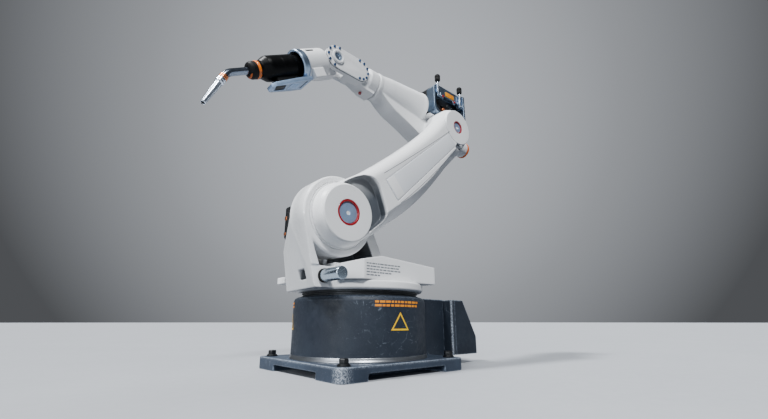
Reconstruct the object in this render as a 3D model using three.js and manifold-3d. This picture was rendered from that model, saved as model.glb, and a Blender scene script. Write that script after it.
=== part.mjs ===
// Six-axis arc-welding robot arm with a wire feeder on its elbow and a swan-neck torch.
// Millimetres, +Z up, +X is the way the arm reaches. The origin is on the slewing axis, at the
// underside of the base plate. Each moving body is a group whose origin lies on its joint axis.

import * as THREE from 'three';
import { ConvexGeometry } from 'three/addons/geometries/ConvexGeometry.js';
import { mergeVertices } from 'three/addons/utils/BufferGeometryUtils.js';
import Module from 'manifold-3d';

// ---- Driving dimensions -------------------------------------------------------------------

const GAP = 0.4;
const PLATE = { side: 480, thickness: 38, corner: 16, frontNotch: 125, sideNotch: 150 };
const NOTCH = { depth: 90, height: 18 };
const ANCHOR = { inset: 33, hole: 10, shank: 9.4, washer: 18, head: 14, headTop: 57 };
const COLUMN = { radius: 221, top: 224, foot: 224.5 };
const BEARING = { radius: 195, top: 239.6 };
const TURNTABLE = { radius: 214, bottom: 240, top: 268 };
const DECK = { front: 180, rear: -178, half: 188, chamfer: 50 };
const SHOULDER = { x: 172, z: 465, lean: -49.2 };
const BOSS = { radius: 128, back: 30, face: 117.6, flange: 108, flangeBack: 112 };
const PIN = { x: 218, z: 277, radius: 19, block: 110, start: 121, end: 205 };
const LINK = { length: 738, start: 118.4, inner: 98, face: 165, hub: 100, elbow: 91 };
const FOREARM = { pitch: -3, axisHeight: 117, rear: 89, front: 349, wrist: 552, keel: 42 };
const WRIST = { cheek: 47, slot: 24.4, half: 42, farHalf: 35, farCheek: 26, rearCentre: -103, collar: -202 };
const TILT = { pitch: 33.5, rear: 52, front: 144, radius: 56 };
const TORCH = { body: 42, bodyEnd: 319.6, capStart: 330.4, capEnd: 354.6, neck: 12, bend: 36, tip: 122 };
const FEEDER = { left: 38, right: -187, bottom: 109, top: 271, face: 72, panel: 56, back: 26, bar: 12 };

// ---- Solids and helpers -------------------------------------------------------------------

const wasm = await Module();
wasm.setup();

function weld(geometry) {
  const bare = geometry.clone();
  bare.deleteAttribute('normal');
  bare.deleteAttribute('uv');
  const welded = mergeVertices(bare, 1e-3);
  const index = [];
  const source = welded.index.array;
  for (let i = 0; i < source.length; i += 3) {
    const [a, b, c] = [source[i], source[i + 1], source[i + 2]];
    if (a !== b && b !== c && c !== a) {
      index.push(a, b, c);
    }
  }
  welded.setIndex(index);
  return facingOut(welded);
}

function signedVolume(geometry) {
  const place = geometry.attributes.position;
  const [a, b, c] = [new THREE.Vector3(), new THREE.Vector3(), new THREE.Vector3()];
  let volume = 0;
  for (let i = 0; i < geometry.index.count; i += 3) {
    a.fromBufferAttribute(place, geometry.index.getX(i));
    b.fromBufferAttribute(place, geometry.index.getX(i + 1));
    c.fromBufferAttribute(place, geometry.index.getX(i + 2));
    volume += a.dot(b.cross(c)) / 6;
  }
  return volume;
}

function facingOut(geometry) {
  if (signedVolume(geometry) < 0) {
    const array = geometry.index.array;
    for (let i = 0; i < array.length; i += 3) {
      [array[i], array[i + 1]] = [array[i + 1], array[i]];
    }
  }
  return geometry;
}

function toSolid(geometry) {
  const welded = weld(geometry);
  return new wasm.Manifold(new wasm.Mesh({
    numProp: 3,
    vertProperties: new Float32Array(welded.attributes.position.array),
    triVerts: new Uint32Array(welded.index.array),
  }));
}

function toGeometry(solid) {
  const mesh = solid.getMesh();
  const geometry = new THREE.BufferGeometry();
  geometry.setAttribute('position', new THREE.BufferAttribute(mesh.vertProperties, 3));
  geometry.setIndex(new THREE.BufferAttribute(mesh.triVerts, 1));
  return geometry;
}

function join(first, ...others) {
  return toGeometry(others.reduce((solid, other) => solid.add(toSolid(other)), toSolid(first)));
}

function cut(first, ...tools) {
  return toGeometry(tools.reduce((solid, tool) => solid.subtract(toSolid(tool)), toSolid(first)));
}

function common(first, second) {
  return toGeometry(toSolid(first).intersect(toSolid(second)));
}

function outline(points) {
  return new THREE.Shape(points.map(([x, y]) => new THREE.Vector2(x, y)));
}

function disc(radius, x = 0, y = 0) {
  return new THREE.Shape().absarc(x, y, radius, 0, 2 * Math.PI, false);
}

function roundedRect(width, height, radius, x = 0, y = 0) {
  const [w, h] = [width / 2 - radius, height / 2 - radius];
  const shape = new THREE.Shape();
  shape.absarc(x + w, y + h, radius, 0, Math.PI / 2, false);
  shape.absarc(x - w, y + h, radius, Math.PI / 2, Math.PI, false);
  shape.absarc(x - w, y - h, radius, Math.PI, 1.5 * Math.PI, false);
  shape.absarc(x + w, y - h, radius, 1.5 * Math.PI, 2 * Math.PI, false);
  return shape;
}

// The smallest convex body around a list of [x, y, z] points.
function hull(points) {
  return new ConvexGeometry(points.map(([x, y, z]) => new THREE.Vector3(x, y, z)));
}

// A slab of a shape in the XY plane, from z = low to z = high, with its edges bevelled inwards.
function slabZ(shape, low, high, bevel = 0, segments = 6, rounds = 1) {
  const geometry = new THREE.ExtrudeGeometry(shape, {
    depth: high - low - 2 * bevel,
    curveSegments: segments,
    bevelEnabled: bevel > 0,
    bevelThickness: bevel,
    bevelSize: bevel,
    bevelOffset: -bevel,
    bevelSegments: rounds,
  });
  return geometry.translate(0, 0, low + bevel);
}

// The same with the shape in (x, z), from y = low to y = high.
function slabY(shape, low, high, bevel = 0, segments = 6, rounds = 1) {
  return slabZ(shape, -high, -low, bevel, segments, rounds).rotateX(Math.PI / 2);
}

// The same with the shape in (y, z), from x = low to x = high.
function slabX(shape, low, high, bevel = 0, segments = 6, rounds = 1) {
  const turn = new THREE.Matrix4().makeBasis(
    new THREE.Vector3(0, 1, 0), new THREE.Vector3(0, 0, 1), new THREE.Vector3(1, 0, 0));
  return slabZ(shape, low, high, bevel, segments, rounds).applyMatrix4(turn);
}

function box(x0, x1, y0, y1, z0, z1) {
  return new THREE.BoxGeometry(x1 - x0, y1 - y0, z1 - z0)
    .translate((x0 + x1) / 2, (y0 + y1) / 2, (z0 + z1) / 2);
}

// A turned solid about the Z, Y or X axis, from a profile of [radius, height] points.
function turnedZ(profile, segments = 32) {
  const points = profile.map(([r, h]) => new THREE.Vector2(r, h));
  return new THREE.LatheGeometry(points, segments).rotateX(Math.PI / 2);
}

function turnedY(profile, segments = 32) {
  const points = profile.map(([r, h]) => new THREE.Vector2(r, h));
  return new THREE.LatheGeometry(points, segments);
}

function turnedX(profile, segments = 32) {
  const points = profile.map(([r, h]) => new THREE.Vector2(r, h));
  return new THREE.LatheGeometry(points, segments).rotateZ(-Math.PI / 2);
}

// The profile of a plain round bar, with its two rims chamfered by edge.
function rod(radius, low, high, edge = 0) {
  if (edge === 0) {
    return [[0, low], [radius, low], [radius, high], [0, high]];
  }
  return [
    [0, low], [radius - edge, low], [radius, low + edge], [radius, high - edge], [radius - edge, high],
    [0, high],
  ];
}

// ---- Materials ----------------------------------------------------------------------------

function finish(color, roughness, metalness) {
  return new THREE.MeshStandardMaterial({ color, roughness, metalness });
}

const PAINT = finish(0xe9eaec, 0.42, 0.0);
const COVER_PAINT = finish(0xdfe2e6, 0.4, 0.0);
const IRON = finish(0x2b3039, 0.72, 0.15);
const BLACK = finish(0x101113, 0.6, 0.1);
const RUBBER = finish(0x0c0c0d, 0.85, 0.0);
const BLUE_STEEL = finish(0x7f9bbd, 0.32, 0.9);
const CHROME = finish(0xc9d3df, 0.12, 1.0);
const DARK_CHROME = finish(0x4a5260, 0.2, 1.0);
const CRIMSON = finish(0xa80f1e, 0.35, 0.0);
const ORANGE = finish(0xf07a12, 0.45, 0.0);
const COPPER = finish(0xb3562f, 0.28, 0.95);
const SOOT = finish(0x17181a, 0.7, 0.4);

function part(name, geometry, material) {
  const mesh = new THREE.Mesh(weld(geometry), material);
  mesh.name = name;
  return mesh;
}

// ---- Base ---------------------------------------------------------------------------------

const ANCHOR_SPOTS = [[1, 1], [-1, 1], [-1, -1], [1, -1]]
  .map(([sx, sy]) => [sx * (PLATE.side / 2 - ANCHOR.inset), sy * (PLATE.side / 2 - ANCHOR.inset)]);

function basePlate() {
  const half = PLATE.side / 2;
  const outer = half + 5;
  const inner = half - NOTCH.depth;
  const slab = slabZ(roundedRect(PLATE.side, PLATE.side, PLATE.corner), 0, PLATE.thickness, 3, 4);
  const { frontNotch, sideNotch } = PLATE;
  const notches = [
    box(inner, outer, -frontNotch, frontNotch, -5, NOTCH.height),
    box(-outer, -inner, -frontNotch, frontNotch, -5, NOTCH.height),
    box(-sideNotch, sideNotch, inner, outer, -5, NOTCH.height),
    box(-sideNotch, sideNotch, -outer, -inner, -5, NOTCH.height),
  ];
  const holes = ANCHOR_SPOTS
    .map(([x, y]) => turnedZ(rod(ANCHOR.hole, -5, PLATE.thickness + 5), 12).translate(x, y, 0));
  return cut(slab, ...notches, ...holes);
}

function anchorBolt() {
  const seat = PLATE.thickness + GAP;
  const socketFloor = ANCHOR.headTop - 8;
  const shank = turnedZ(rod(ANCHOR.shank, 6, seat + 1), 12);
  const washer = turnedZ(rod(ANCHOR.washer, seat, seat + 3), 16);
  const head = turnedZ(rod(ANCHOR.head, seat + 2, ANCHOR.headTop, 2), 6);
  return cut(join(shank, washer, head), turnedZ(rod(6, socketFloor, ANCHOR.headTop + 2), 6));
}

function baseColumn() {
  const { radius, top, foot } = COLUMN;
  const low = PLATE.thickness + GAP;
  return turnedZ([
    [0, low], [foot, low], [foot, low + 4], [radius, low + 12], [radius, top - 12], [radius - 3, top - 4],
    [radius - 11, top], [0, top],
  ], 48);
}

function rearNeck() {
  const low = PLATE.thickness + GAP;
  const block = join(
    box(-326, -170, -92, 92, low, COLUMN.top + 4),
    box(-326, -PLATE.side / 2 - GAP, -92, 92, 20, COLUMN.top),
  );
  const clearance = turnedZ([
    [0, low - 5], [COLUMN.foot + 0.6, low - 5], [COLUMN.foot + 0.6, low + 4.4],
    [COLUMN.radius + 0.6, low + 12.4], [COLUMN.radius + 0.6, COLUMN.top + 5], [0, COLUMN.top + 5],
  ], 48);
  return cut(block, clearance);
}

function rearBox() {
  const side = outline([[-326.4, 33], [-326.4, 226], [-394, 226], [-466, 95], [-466, 33]]);
  return slabY(side, -131, 131, 3);
}

function rearPanelGroup() {
  const panel = new THREE.Group();
  panel.position.set(-430, 0, 160.5);
  panel.rotation.y = THREE.MathUtils.degToRad(-61.2);
  panel.add(part('rear_cover', slabZ(roundedRect(132, 226, 8), 0.6, 7, 1.5, 3), IRON));
  const plug = turnedZ([[0, 7.4], [30, 7.4], [30, 14], [25, 17], [25, 40], [22, 43], [0, 43]], 18);
  panel.add(part('power_connector', plug.translate(8, 50, 0), BLACK));
  const shell = slabZ(roundedRect(46, 84, 5), 7.4, 36, 3, 3);
  panel.add(part('signal_connector', shell.translate(8, -48, 0), BLUE_STEEL));
  return panel;
}

function base() {
  const group = new THREE.Group();
  group.add(part('base_plate', basePlate(), IRON));
  group.add(part('base_column', baseColumn(), IRON));
  group.add(part('slew_bearing', turnedZ(rod(BEARING.radius, COLUMN.top + GAP, BEARING.top), 40), SOOT));
  group.add(part('rear_neck', rearNeck(), IRON));
  group.add(part('rear_box', rearBox(), IRON));
  group.add(rearPanelGroup());
  ANCHOR_SPOTS.forEach(([x, y], i) => {
    const bolt = part(`anchor_bolt_${i + 1}`, anchorBolt(), BLACK);
    bolt.position.set(x, y, 0);
    group.add(bolt);
  });
  return group;
}

// ---- Turret -------------------------------------------------------------------------------

const SLEW_MOTOR = { x: -62, y: -128, radius: 43 };
const PILLAR = { far: -110, seat: -120, near: 30, wall: -62, ribFront: 181, ribRear: 166, floor: 306 };

function turntableRing() {
  const { radius, bottom, top } = TURNTABLE;
  return turnedZ([
    [0, bottom], [radius - 5, bottom], [radius, bottom + 5], [radius, top - 3], [radius - 3, top], [0, top],
  ], 48);
}

function turretDeck() {
  const { front, rear, half, chamfer } = DECK;
  const low = TURNTABLE.top + GAP;
  const side = outline([[rear, low], [front, low], [front, 314], [130, 327.5], [60, 342], [rear, 326]]);
  const plan = outline([
    [rear, -half], [front - chamfer, -half], [front, chamfer - half], [front, half - chamfer],
    [front - chamfer, half], [rear, half],
  ]);
  const wedge = common(slabY(side, -half, half), slabZ(plan, low - 1, 400));
  const besidePillar = box(-160, 300, -300, 46, 200, 400);
  const besidePin = box(149.6, 300, 40, PIN.block + GAP, 200, 400);
  return cut(wedge, besidePillar, besidePin);
}

// The shoulder casting: an upright with a flat front, a slanted rear web and a round head.
function bossPoint(degrees, y) {
  const angle = THREE.MathUtils.degToRad(degrees);
  return [SHOULDER.x + BOSS.radius * Math.cos(angle), y, SHOULDER.z + BOSS.radius * Math.sin(angle)];
}

// The front of the shoulder casting: it widens from the turntable up to the round boss.
function pillarFront() {
  const low = TURNTABLE.bottom + 3;
  const { block } = PIN;
  const angles = [-8, -22, -40, -60, -80];
  return hull([
    [150, -122, low], [212, -125, low], [246, block, low], [150, block, low],
    [150, block, PILLAR.floor], [246, block, PILLAR.floor], [250, -94, 370], [150, PILLAR.far, 372],
    ...angles.map((angle) => bossPoint(angle, BOSS.back)),
    ...angles.map((angle) => bossPoint(angle, BOSS.face)),
  ]);
}

// The slanted rear web, with its near edge chamfered.
function pillarRear() {
  const low = TURNTABLE.bottom + 3;
  const { far, seat, near } = PILLAR;
  return hull([
    [-152, seat, low], [-15, far, 540], [60, far, 575], [205, far, 545], [205, seat, low],
    [-152, 15, low], [-15, 0, 540], [-125, 45, low], [12, near, 540], [60, near, 570],
    [200, near, 545], [205, 45, low],
  ]);
}

function shoulderPillar() {
  const { x, z } = SHOULDER;
  const { radius, back, face, flange, flangeBack } = BOSS;
  const { seat, wall, ribFront, ribRear, floor } = PILLAR;
  const boss = turnedY([
    [0, back], [radius - 3, back], [radius, back + 3], [radius, face - 5], [radius - 5, face],
    [flange + GAP, face], [flange + GAP, flangeBack - GAP], [0, flangeBack - GAP],
  ], 48).translate(x, 0, z);
  const motorSeat = box(x - 60, x + 48, seat, 0, z - 48, z + 74);
  const frontPocket = hull([
    [ribFront, wall, floor], [226, wall, floor], [240, wall, 400], [ribFront, wall, 400],
    [ribFront, 140, floor], [238, 140, floor], [276, 140, 400], [ribFront, 140, 400],
  ]);
  const rearPocket = outline([[-44, 318], [ribRear, 318], [ribRear, 430], [8, 430]]);
  const webs = cut(
    join(pillarFront(), pillarRear(), motorSeat),
    frontPocket,
    slabY(rearPocket, wall, 140),
    box(ribRear - 1, ribFront + 1, 45, 140, floor + 14, 420),
    box(DECK.rear, 300, PIN.block, 200, 200, floor),
    box(DECK.rear, DECK.front + GAP, PIN.block, 200, 200, 325),
    turnedZ(rod(TURNTABLE.radius + 0.6, 200, TURNTABLE.top + GAP), 48),
    turnedZ(rod(SLEW_MOTOR.radius + 5, 200, 700), 20).translate(SLEW_MOTOR.x, SLEW_MOTOR.y, 0),
    box(215, 262, 15, 63, 269, 299),
    turnedY(rod(flange + GAP, flangeBack - GAP, 200), 48).translate(x, 0, z),
    turnedY(rod(radius - 1, face, 200), 32).translate(x, 0, z),
  );
  return join(webs, boss);
}

function shoulderFlange() {
  const { flange, flangeBack } = BOSS;
  const outer = LINK.start - GAP;
  return turnedY([
    [0, flangeBack], [flange - 0.6, flangeBack], [flange - 0.6, outer - 2], [flange - 2, outer], [0, outer],
  ], 48);
}

function shoulderMotor() {
  const front = PILLAR.seat - GAP;
  const flange = slabY(roundedRect(118, 118, 10, 0, 14), front - 15.6, front, 2, 3);
  const can = turnedY([[0, -218], [36, -218], [42, -212], [42, -130], [0, -130]], 24);
  const socket = slabZ(roundedRect(34, 44, 5, -22, -168), -40, 46, 4, 3);
  return join(flange, can.translate(-24, 0, 20), socket);
}

function slewMotor() {
  const low = TURNTABLE.top + GAP;
  const { radius } = SLEW_MOTOR;
  return turnedZ([
    [0, low], [radius, low], [radius, low + 12], [radius - 5, low + 16], [radius - 5, low + 130],
    [radius - 12, low + 142], [0, low + 142],
  ], 24);
}

// A flat ear beside the upright, on a foot that stands on the turntable.
function sideBracket() {
  const near = -146;
  const arm = box(80, 212, -200, near, 273, 295);
  const foot = box(80, 150, near - 14, near, TURNTABLE.top + GAP, 274);
  return cut(join(arm, foot), turnedZ(rod(5, 200, 300), 12).translate(196, -184, 0));
}

function turret() {
  const group = new THREE.Group();
  group.add(part('turntable_ring', turntableRing(), PAINT));
  group.add(part('turret_deck', turretDeck(), PAINT));
  group.add(part('shoulder_pillar', shoulderPillar(), PAINT));
  group.add(part('side_bracket', sideBracket(), PAINT));
  group.add(part('slew_motor', slewMotor().translate(SLEW_MOTOR.x, SLEW_MOTOR.y, 0), BLACK));
  const { x, z, radius, block, start, end } = PIN;
  const pin = turnedY([[0, start], [radius, start], [radius, end - 2], [radius - 1.5, end], [0, end]], 24);
  group.add(part('handling_pin', pin.translate(x, 0, z), CHROME));
  const collar = turnedY(rod(radius + 1.5, block + GAP, start - GAP, 1.5), 20);
  group.add(part('pin_collar', collar.translate(x, 0, z), RUBBER));
  const shoulder = new THREE.Group();
  shoulder.position.set(SHOULDER.x, 0, SHOULDER.z);
  shoulder.add(part('shoulder_flange', shoulderFlange(), PAINT));
  shoulder.add(part('shoulder_motor', shoulderMotor(), BLACK));
  shoulder.add(lowerArm());
  group.add(shoulder);
  return group;
}

// ---- Lower arm: local +Z runs from the shoulder to the elbow, local +X is its upper side ---

const BOSS_RECESS = { shoulder: 41.4, elbow: 28.4, floor: 150 };

function linkOutline() {
  const top = LINK.length;
  const shape = new THREE.Shape();
  shape.moveTo(-LINK.hub, 0);
  shape.absarc(0, 0, LINK.hub, Math.PI, 2 * Math.PI, false);
  shape.bezierCurveTo(88, 70, 78, 120, 73, 170);
  shape.bezierCurveTo(60, 330, 57, 500, 66, 600);
  shape.quadraticCurveTo(74, 670, LINK.elbow, top);
  shape.absarc(0, top, LINK.elbow, 0, 0.93 * Math.PI, false);
  shape.bezierCurveTo(-102, 690, -118, 600, -129, 500);
  shape.bezierCurveTo(-143, 380, -143, 290, -131, 190);
  shape.quadraticCurveTo(-118, 80, -LINK.hub, 0);
  return shape;
}

function pocketOutline() {
  return outline([
    [-94, -6], [90, -6], [86, 18], [79, 83], [74, 112], [64, 140], [50, 156], [33, 165], [14, 168],
    [-3, 165],
    [-64, 143], [-84, 133], [-92, 120], [-93, 90], [-91, 59],
  ]);
}

function lowerArmShell() {
  const { length, start, face, hub, elbow, inner } = LINK;
  const rounded = slabY(linkOutline(), -60, face, 40, 5, 2);
  const nearHub = turnedY(rod(BOSS.radius + 12, -80, start), 32);
  const beyondHub = box(-200, 200, -80, inner, -200, 1000);
  const pocketFloor = 128;
  const skin = cut(rounded, beyondHub, nearHub, slabY(pocketOutline(), pocketFloor, 200));
  const hubBoss = turnedY([
    [0, start], [hub + 2, start], [hub + 2, pocketFloor], [hub - 2, 146], [hub - 12, face], [0, face],
  ], 40);
  const elbowBoss = turnedY([
    [0, 62], [elbow - 4, 62], [elbow, 66], [elbow, 118], [elbow - 6, 128], [76, 134], [76, face - 2],
    [74, face], [0, face],
  ], 36).translate(0, 0, length);
  const panel = outline([[10, 205], [4, 658], [-56, 658], [-72, 205]]);
  const notch = outline([[-92, 690], [-52, 690], [-60, 668]]);
  return cut(
    join(skin, hubBoss, elbowBoss),
    turnedY(rod(BOSS_RECESS.shoulder, BOSS_RECESS.floor, 200), 24),
    turnedY(rod(BOSS_RECESS.elbow, BOSS_RECESS.floor, 200), 24).translate(0, 0, length),
    turnedY(rod(60, 0, 86), 24).translate(0, 0, length),
    slabY(panel, face - 3, 200),
    slabY(notch, face - 16, 200),
  );
}

function lowerArmCover() {
  const shape = outline([[7, 209], [1.5, 654], [-53.5, 654], [-69, 209]]);
  return slabY(shape, LINK.face - 3 + GAP, LINK.face + 1, 1);
}

function bossTrim(group, name, radius, height) {
  const floor = BOSS_RECESS.floor + GAP;
  const { face } = LINK;
  const inner = radius * 0.82;
  const ring = turnedY([
    [inner + GAP, floor], [radius, floor], [radius, face - 2], [inner + GAP, face - 2], [inner + GAP, floor],
  ], 24);
  const cap = turnedY([
    [0, floor], [inner, floor], [inner, face - 6], [inner - 2, face - 4], [6, face - 4], [5, face - 9],
    [0, face - 9],
  ], 24);
  group.add(part(`${name}_ring`, ring.translate(0, 0, height), CRIMSON));
  group.add(part(`${name}_cap`, cap.translate(0, 0, height), BLUE_STEEL));
}

function lowerArm() {
  const group = new THREE.Group();
  group.rotation.y = THREE.MathUtils.degToRad(SHOULDER.lean);
  group.add(part('lower_arm_shell', lowerArmShell(), PAINT));
  group.add(part('lower_arm_cover', lowerArmCover(), COVER_PAINT));
  bossTrim(group, 'shoulder', 41, 0);
  bossTrim(group, 'elbow', 28, LINK.length);
  const elbow = new THREE.Group();
  elbow.position.set(0, 0, LINK.length);
  elbow.rotation.y = THREE.MathUtils.degToRad(FOREARM.pitch - SHOULDER.lean);
  elbow.add(upperArm());
  group.add(elbow);
  return group;
}

// ---- Upper arm: local +X runs along the roll axis, which is FOREARM.axisHeight above the elbow

const REAR_MOTOR = { z: 36, radius: 37, start: -40, end: -238 };
const SHELF = { low: 69, high: 75, front: 86, rear: -150 };
const LEVER = { spots: [1, -160], y: 64, pivot: 214, knob: 66, end: 100 };
const TAB_SPOTS = [-42, -125];

function forearmHousing() {
  const { axisHeight, rear, front, keel } = FOREARM;
  const shelfClear = SHELF.low - GAP;
  const tube = turnedX([
    [0, rear], [77, rear], [80, rear + 5], [80, rear + 14], [77, rear + 22], [75, 135], [63, 284],
    [55.5, 334], [57.5, 337], [57.5, front - 3], [55, front], [0, front],
  ], 36).translate(0, 0, axisHeight);
  const side = new THREE.Shape();
  side.moveTo(330, 100);
  side.lineTo(326, 76);
  side.quadraticCurveTo(292, 46, 252, 28);
  side.lineTo(170, 0);
  side.lineTo(60, -45);
  side.lineTo(20, -79);
  side.absarc(0, 0, 82, -1.33, -3.5, true);
  side.lineTo(-43, shelfClear);
  side.lineTo(rear, shelfClear);
  side.lineTo(rear + 6, 100);
  side.closePath();
  const boss = turnedY([[0, -58], [78, -58], [82, -54], [82, 57], [78, 61.4], [0, 61.4]], 36);
  const deckClear = box(-200, rear - GAP, -100, 100, shelfClear, 300);
  return cut(join(tube, slabY(side, -keel, keel, 7, 5), boss), deckClear);
}

function elbowSpigot() {
  return turnedY([[0, 61.8], [52, 61.8], [52, 84], [48, 85.4], [0, 85.4]], 24);
}

function rollMotorHousing() {
  const { z, radius, start, end } = REAR_MOTOR;
  const can = turnedX([[0, end], [radius, end], [radius, start], [0, start]], 28).translate(0, 0, z);
  const underShelf = box(SHELF.rear - 18, 60, -100, 100, SHELF.low - GAP, 300);
  return cut(can, turnedY(rod(82.6, -90, 90), 36), underShelf);
}

function motorEndCap() {
  const { z, radius, end } = REAR_MOTOR;
  const start = end - GAP;
  return turnedX([
    [0, start], [radius + 1.5, start], [radius + 1.5, start - 9], [radius - 6, start - 16], [0, start - 16],
  ], 28).translate(0, 0, z);
}

function feederShelf() {
  const { low, high, front, rear } = SHELF;
  const plate = slabZ(roundedRect(front - rear, 160, 10, (front + rear) / 2, 0), low, high, 1, 3);
  const tube = turnedX(rod(83, FOREARM.rear - 1, 300), 36).translate(0, 0, FOREARM.axisHeight);
  const elbowSweep = turnedY(rod(LINK.elbow + 1.6, 61.6, 120), 36);
  const keelClear = box(FOREARM.rear - 1, 300, -FOREARM.keel - 1, FOREARM.keel + 1, 0, 100);
  return cut(plate, tube, elbowSweep, keelClear);
}

function feederCase() {
  const shape = outline([[34, 79.4], [34, 240], [12, 262], [-172, 262], [-172, 98], [-150, 68.5]]);
  return slabY(shape, -112, FEEDER.back - GAP, 4);
}

function feederFrame() {
  const { left, right, bottom, top, face, back, panel, bar } = FEEDER;
  const panelLow = top - 45;
  const shape = new THREE.Shape();
  shape.moveTo(right, bottom);
  shape.lineTo(left - 42, bottom);
  shape.quadraticCurveTo(left, bottom, left, bottom + 42);
  shape.lineTo(left, top - 36);
  shape.lineTo(left - 36, top);
  shape.lineTo(right + 8, top);
  shape.lineTo(right, top - 8);
  shape.closePath();
  const window = (height) => outline([
    [right + bar, bottom + bar], [left - 42, bottom + bar], [left - 18, bottom + 26],
    [left - bar, bottom + 46], [left - bar, height], [right + bar, height],
  ]);
  const rim = cut(
    slabY(shape, back, face, 1.5, 4),
    slabY(window(panelLow), back + 8, 100),
    slabY(window(top + 5), panel, 100),
  );
  const tabs = TAB_SPOTS.map((x) => slabY(outline([
    [x - 9, 250], [x - 9, 216], [x - 5, 210], [x + 5, 210], [x + 9, 216], [x + 9, 250],
  ]), panel - 6, panel));
  return join(rim, ...tabs, ...LEVER.spots.flatMap(leverBracket));
}

function leverBracket(x) {
  const { panel } = FEEDER;
  const reach = LEVER.y + 8;
  const { pivot } = LEVER;
  return [
    box(x - 12, x + 12, panel - 6, reach, pivot - 18, pivot - 8),
    box(x - 12, x - 8.4, panel - 6, reach, pivot - 14, pivot + 10),
    box(x + 8.4, x + 12, panel - 6, reach, pivot - 14, pivot + 10),
    box(x - 12, x + 12, panel - 6, panel + 1, pivot - 18, pivot + 26),
  ];
}

// The feeder is level when the forearm leans back, so its group turns against the forearm.
function feederGroup() {
  const group = new THREE.Group();
  group.rotation.y = THREE.MathUtils.degToRad(-FOREARM.pitch);
  const { panel, back } = FEEDER;
  group.add(part('feeder_case', feederCase(), BLACK));
  group.add(part('feeder_frame', feederFrame(), BLUE_STEEL));
  const plate = slabY(roundedRect(60, 23, 3, -91, 242), panel + GAP, panel + 3, 0.8, 3);
  group.add(part('feeder_nameplate', plate, ORANGE));
  const { spots, y, pivot, knob, end } = LEVER;
  spots.forEach((x, i) => {
    const lever = new THREE.Group();
    lever.position.set(x, y, pivot);
    const shaft = join(turnedZ(rod(5, 0, knob, 1), 14), turnedX(rod(6, -8, 8), 14));
    lever.add(part(`tension_lever_${i + 1}`, shaft, CHROME));
    const grip = turnedZ([
      [0, knob + GAP], [10, knob + GAP], [13, knob + 4], [13, end - 5], [9, end], [0, end],
    ], 16);
    lever.add(part(`tension_knob_${i + 1}`, grip, RUBBER));
    group.add(lever);
  });
  [[-12, 1], [-62, 2]].forEach(([x, i]) => {
    const roll = turnedY([
      [0, back + 10], [22, back + 10], [22, back + 24], [10, back + 24], [8, back + 30], [0, back + 30],
    ], 24);
    group.add(part(`feed_roll_${i}`, roll.translate(x, 0, 150), SOOT));
  });
  const guide = turnedX([[0, -96], [5, -96], [5, -68], [0, -68]], 12);
  group.add(part('wire_inlet', guide.translate(-34, back + 18, 176), COPPER));
  return group;
}

function upperArm() {
  const group = new THREE.Group();
  group.add(part('forearm_housing', forearmHousing(), PAINT));
  group.add(part('elbow_spigot', elbowSpigot(), SOOT));
  group.add(part('roll_motor_housing', rollMotorHousing(), PAINT));
  group.add(part('motor_end_cap', motorEndCap(), ORANGE));
  group.add(part('feeder_shelf', feederShelf(), PAINT));
  group.add(feederGroup());
  const wristGroup = new THREE.Group();
  wristGroup.position.set(FOREARM.wrist, 0, FOREARM.axisHeight);
  wristGroup.add(wrist());
  group.add(wristGroup);
  return group;
}

// ---- Wrist: the origin is the bend axis, local +X runs along the roll axis ------------------

function obround(radius, rearX, grow = 0) {
  const shape = new THREE.Shape();
  shape.absarc(0, 0, radius + grow, -Math.PI / 2, Math.PI / 2, false);
  shape.absarc(rearX, 0, radius + grow, Math.PI / 2, 1.5 * Math.PI, false);
  return shape;
}

function wristHousing() {
  const { cheek, slot, half, farHalf, farCheek, rearCentre, collar } = WRIST;
  const nearCheek = slabY(obround(cheek, rearCentre), 4, half, 3, 9);
  const farSide = slabY(obround(farCheek, rearCentre), -farHalf, 8, 3, 9);
  const barrel = turnedX([
    [0, collar + 0.5], [52, collar + 0.5], [55.5, collar + 4], [55.5, -160],
    [41, -149.6], [40, -104], [0, -104],
  ], 36);
  const belly = outline([
    [-192, -20], [-192, -62], [-150, -57], [-118, -44], [-100, -37], [-90, -31], [-56, -29], [-50, -10],
  ]);
  return cut(
    join(nearCheek, farSide, barrel, slabY(belly, -32, 32, 5)),
    turnedY(rod(64, -slot, slot), 28),
    box(-5, 100, -slot, slot, -80, 80),
    box(rearCentre - farCheek - 1, 100, -80, -farHalf, -80, 80),
    turnedY(rod(30, half - 6, half + 20), 20),
  );
}

function wristCover(radius, y0, y1) {
  const body = slabY(obround(radius, WRIST.rearCentre), y0, y1, 1.5, 9);
  return cut(body, turnedY(rod(17, -100, 100), 20));
}

function bendBoss() {
  const { half } = WRIST;
  return turnedY([
    [17.4, half - 5.4], [27, half - 5.4], [27.4, half + 12], [25, half + 14], [19.5, half + 14],
    [17.4, half + 12], [17.4, half - 5.4],
  ], 24);
}

function wrist() {
  const group = new THREE.Group();
  const { half, farHalf, cheek, farCheek } = WRIST;
  group.add(part('wrist_housing', wristHousing(), PAINT));
  const cover = wristCover(cheek - 1, half + GAP, half + 6);
  group.add(part('wrist_cover', cut(cover, turnedY(rod(28, 0, 100), 24)), PAINT));
  const beltCover = wristCover(farCheek - 1, -farHalf - 10, -farHalf - GAP);
  group.add(part('wrist_belt_cover', beltCover, COVER_PAINT));
  group.add(part('bend_boss', bendBoss(), PAINT));
  const capOutline = [[0, half - 5.4], [17, half - 5.4], [17, half + 7], [15, half + 9], [0, half + 9]];
  const cap = turnedY(capOutline, 20);
  group.add(part('bend_cap', cap, BLUE_STEEL));
  const plug = turnedZ(rod(6.5, -66, -58.8, 1), 12);
  group.add(part('wrist_plug', plug.translate(-144, 0, -1), CRIMSON));
  const tiltGroup = new THREE.Group();
  tiltGroup.rotation.y = THREE.MathUtils.degToRad(TILT.pitch);
  tiltGroup.add(tilt());
  group.add(tiltGroup);
  return group;
}

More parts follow.
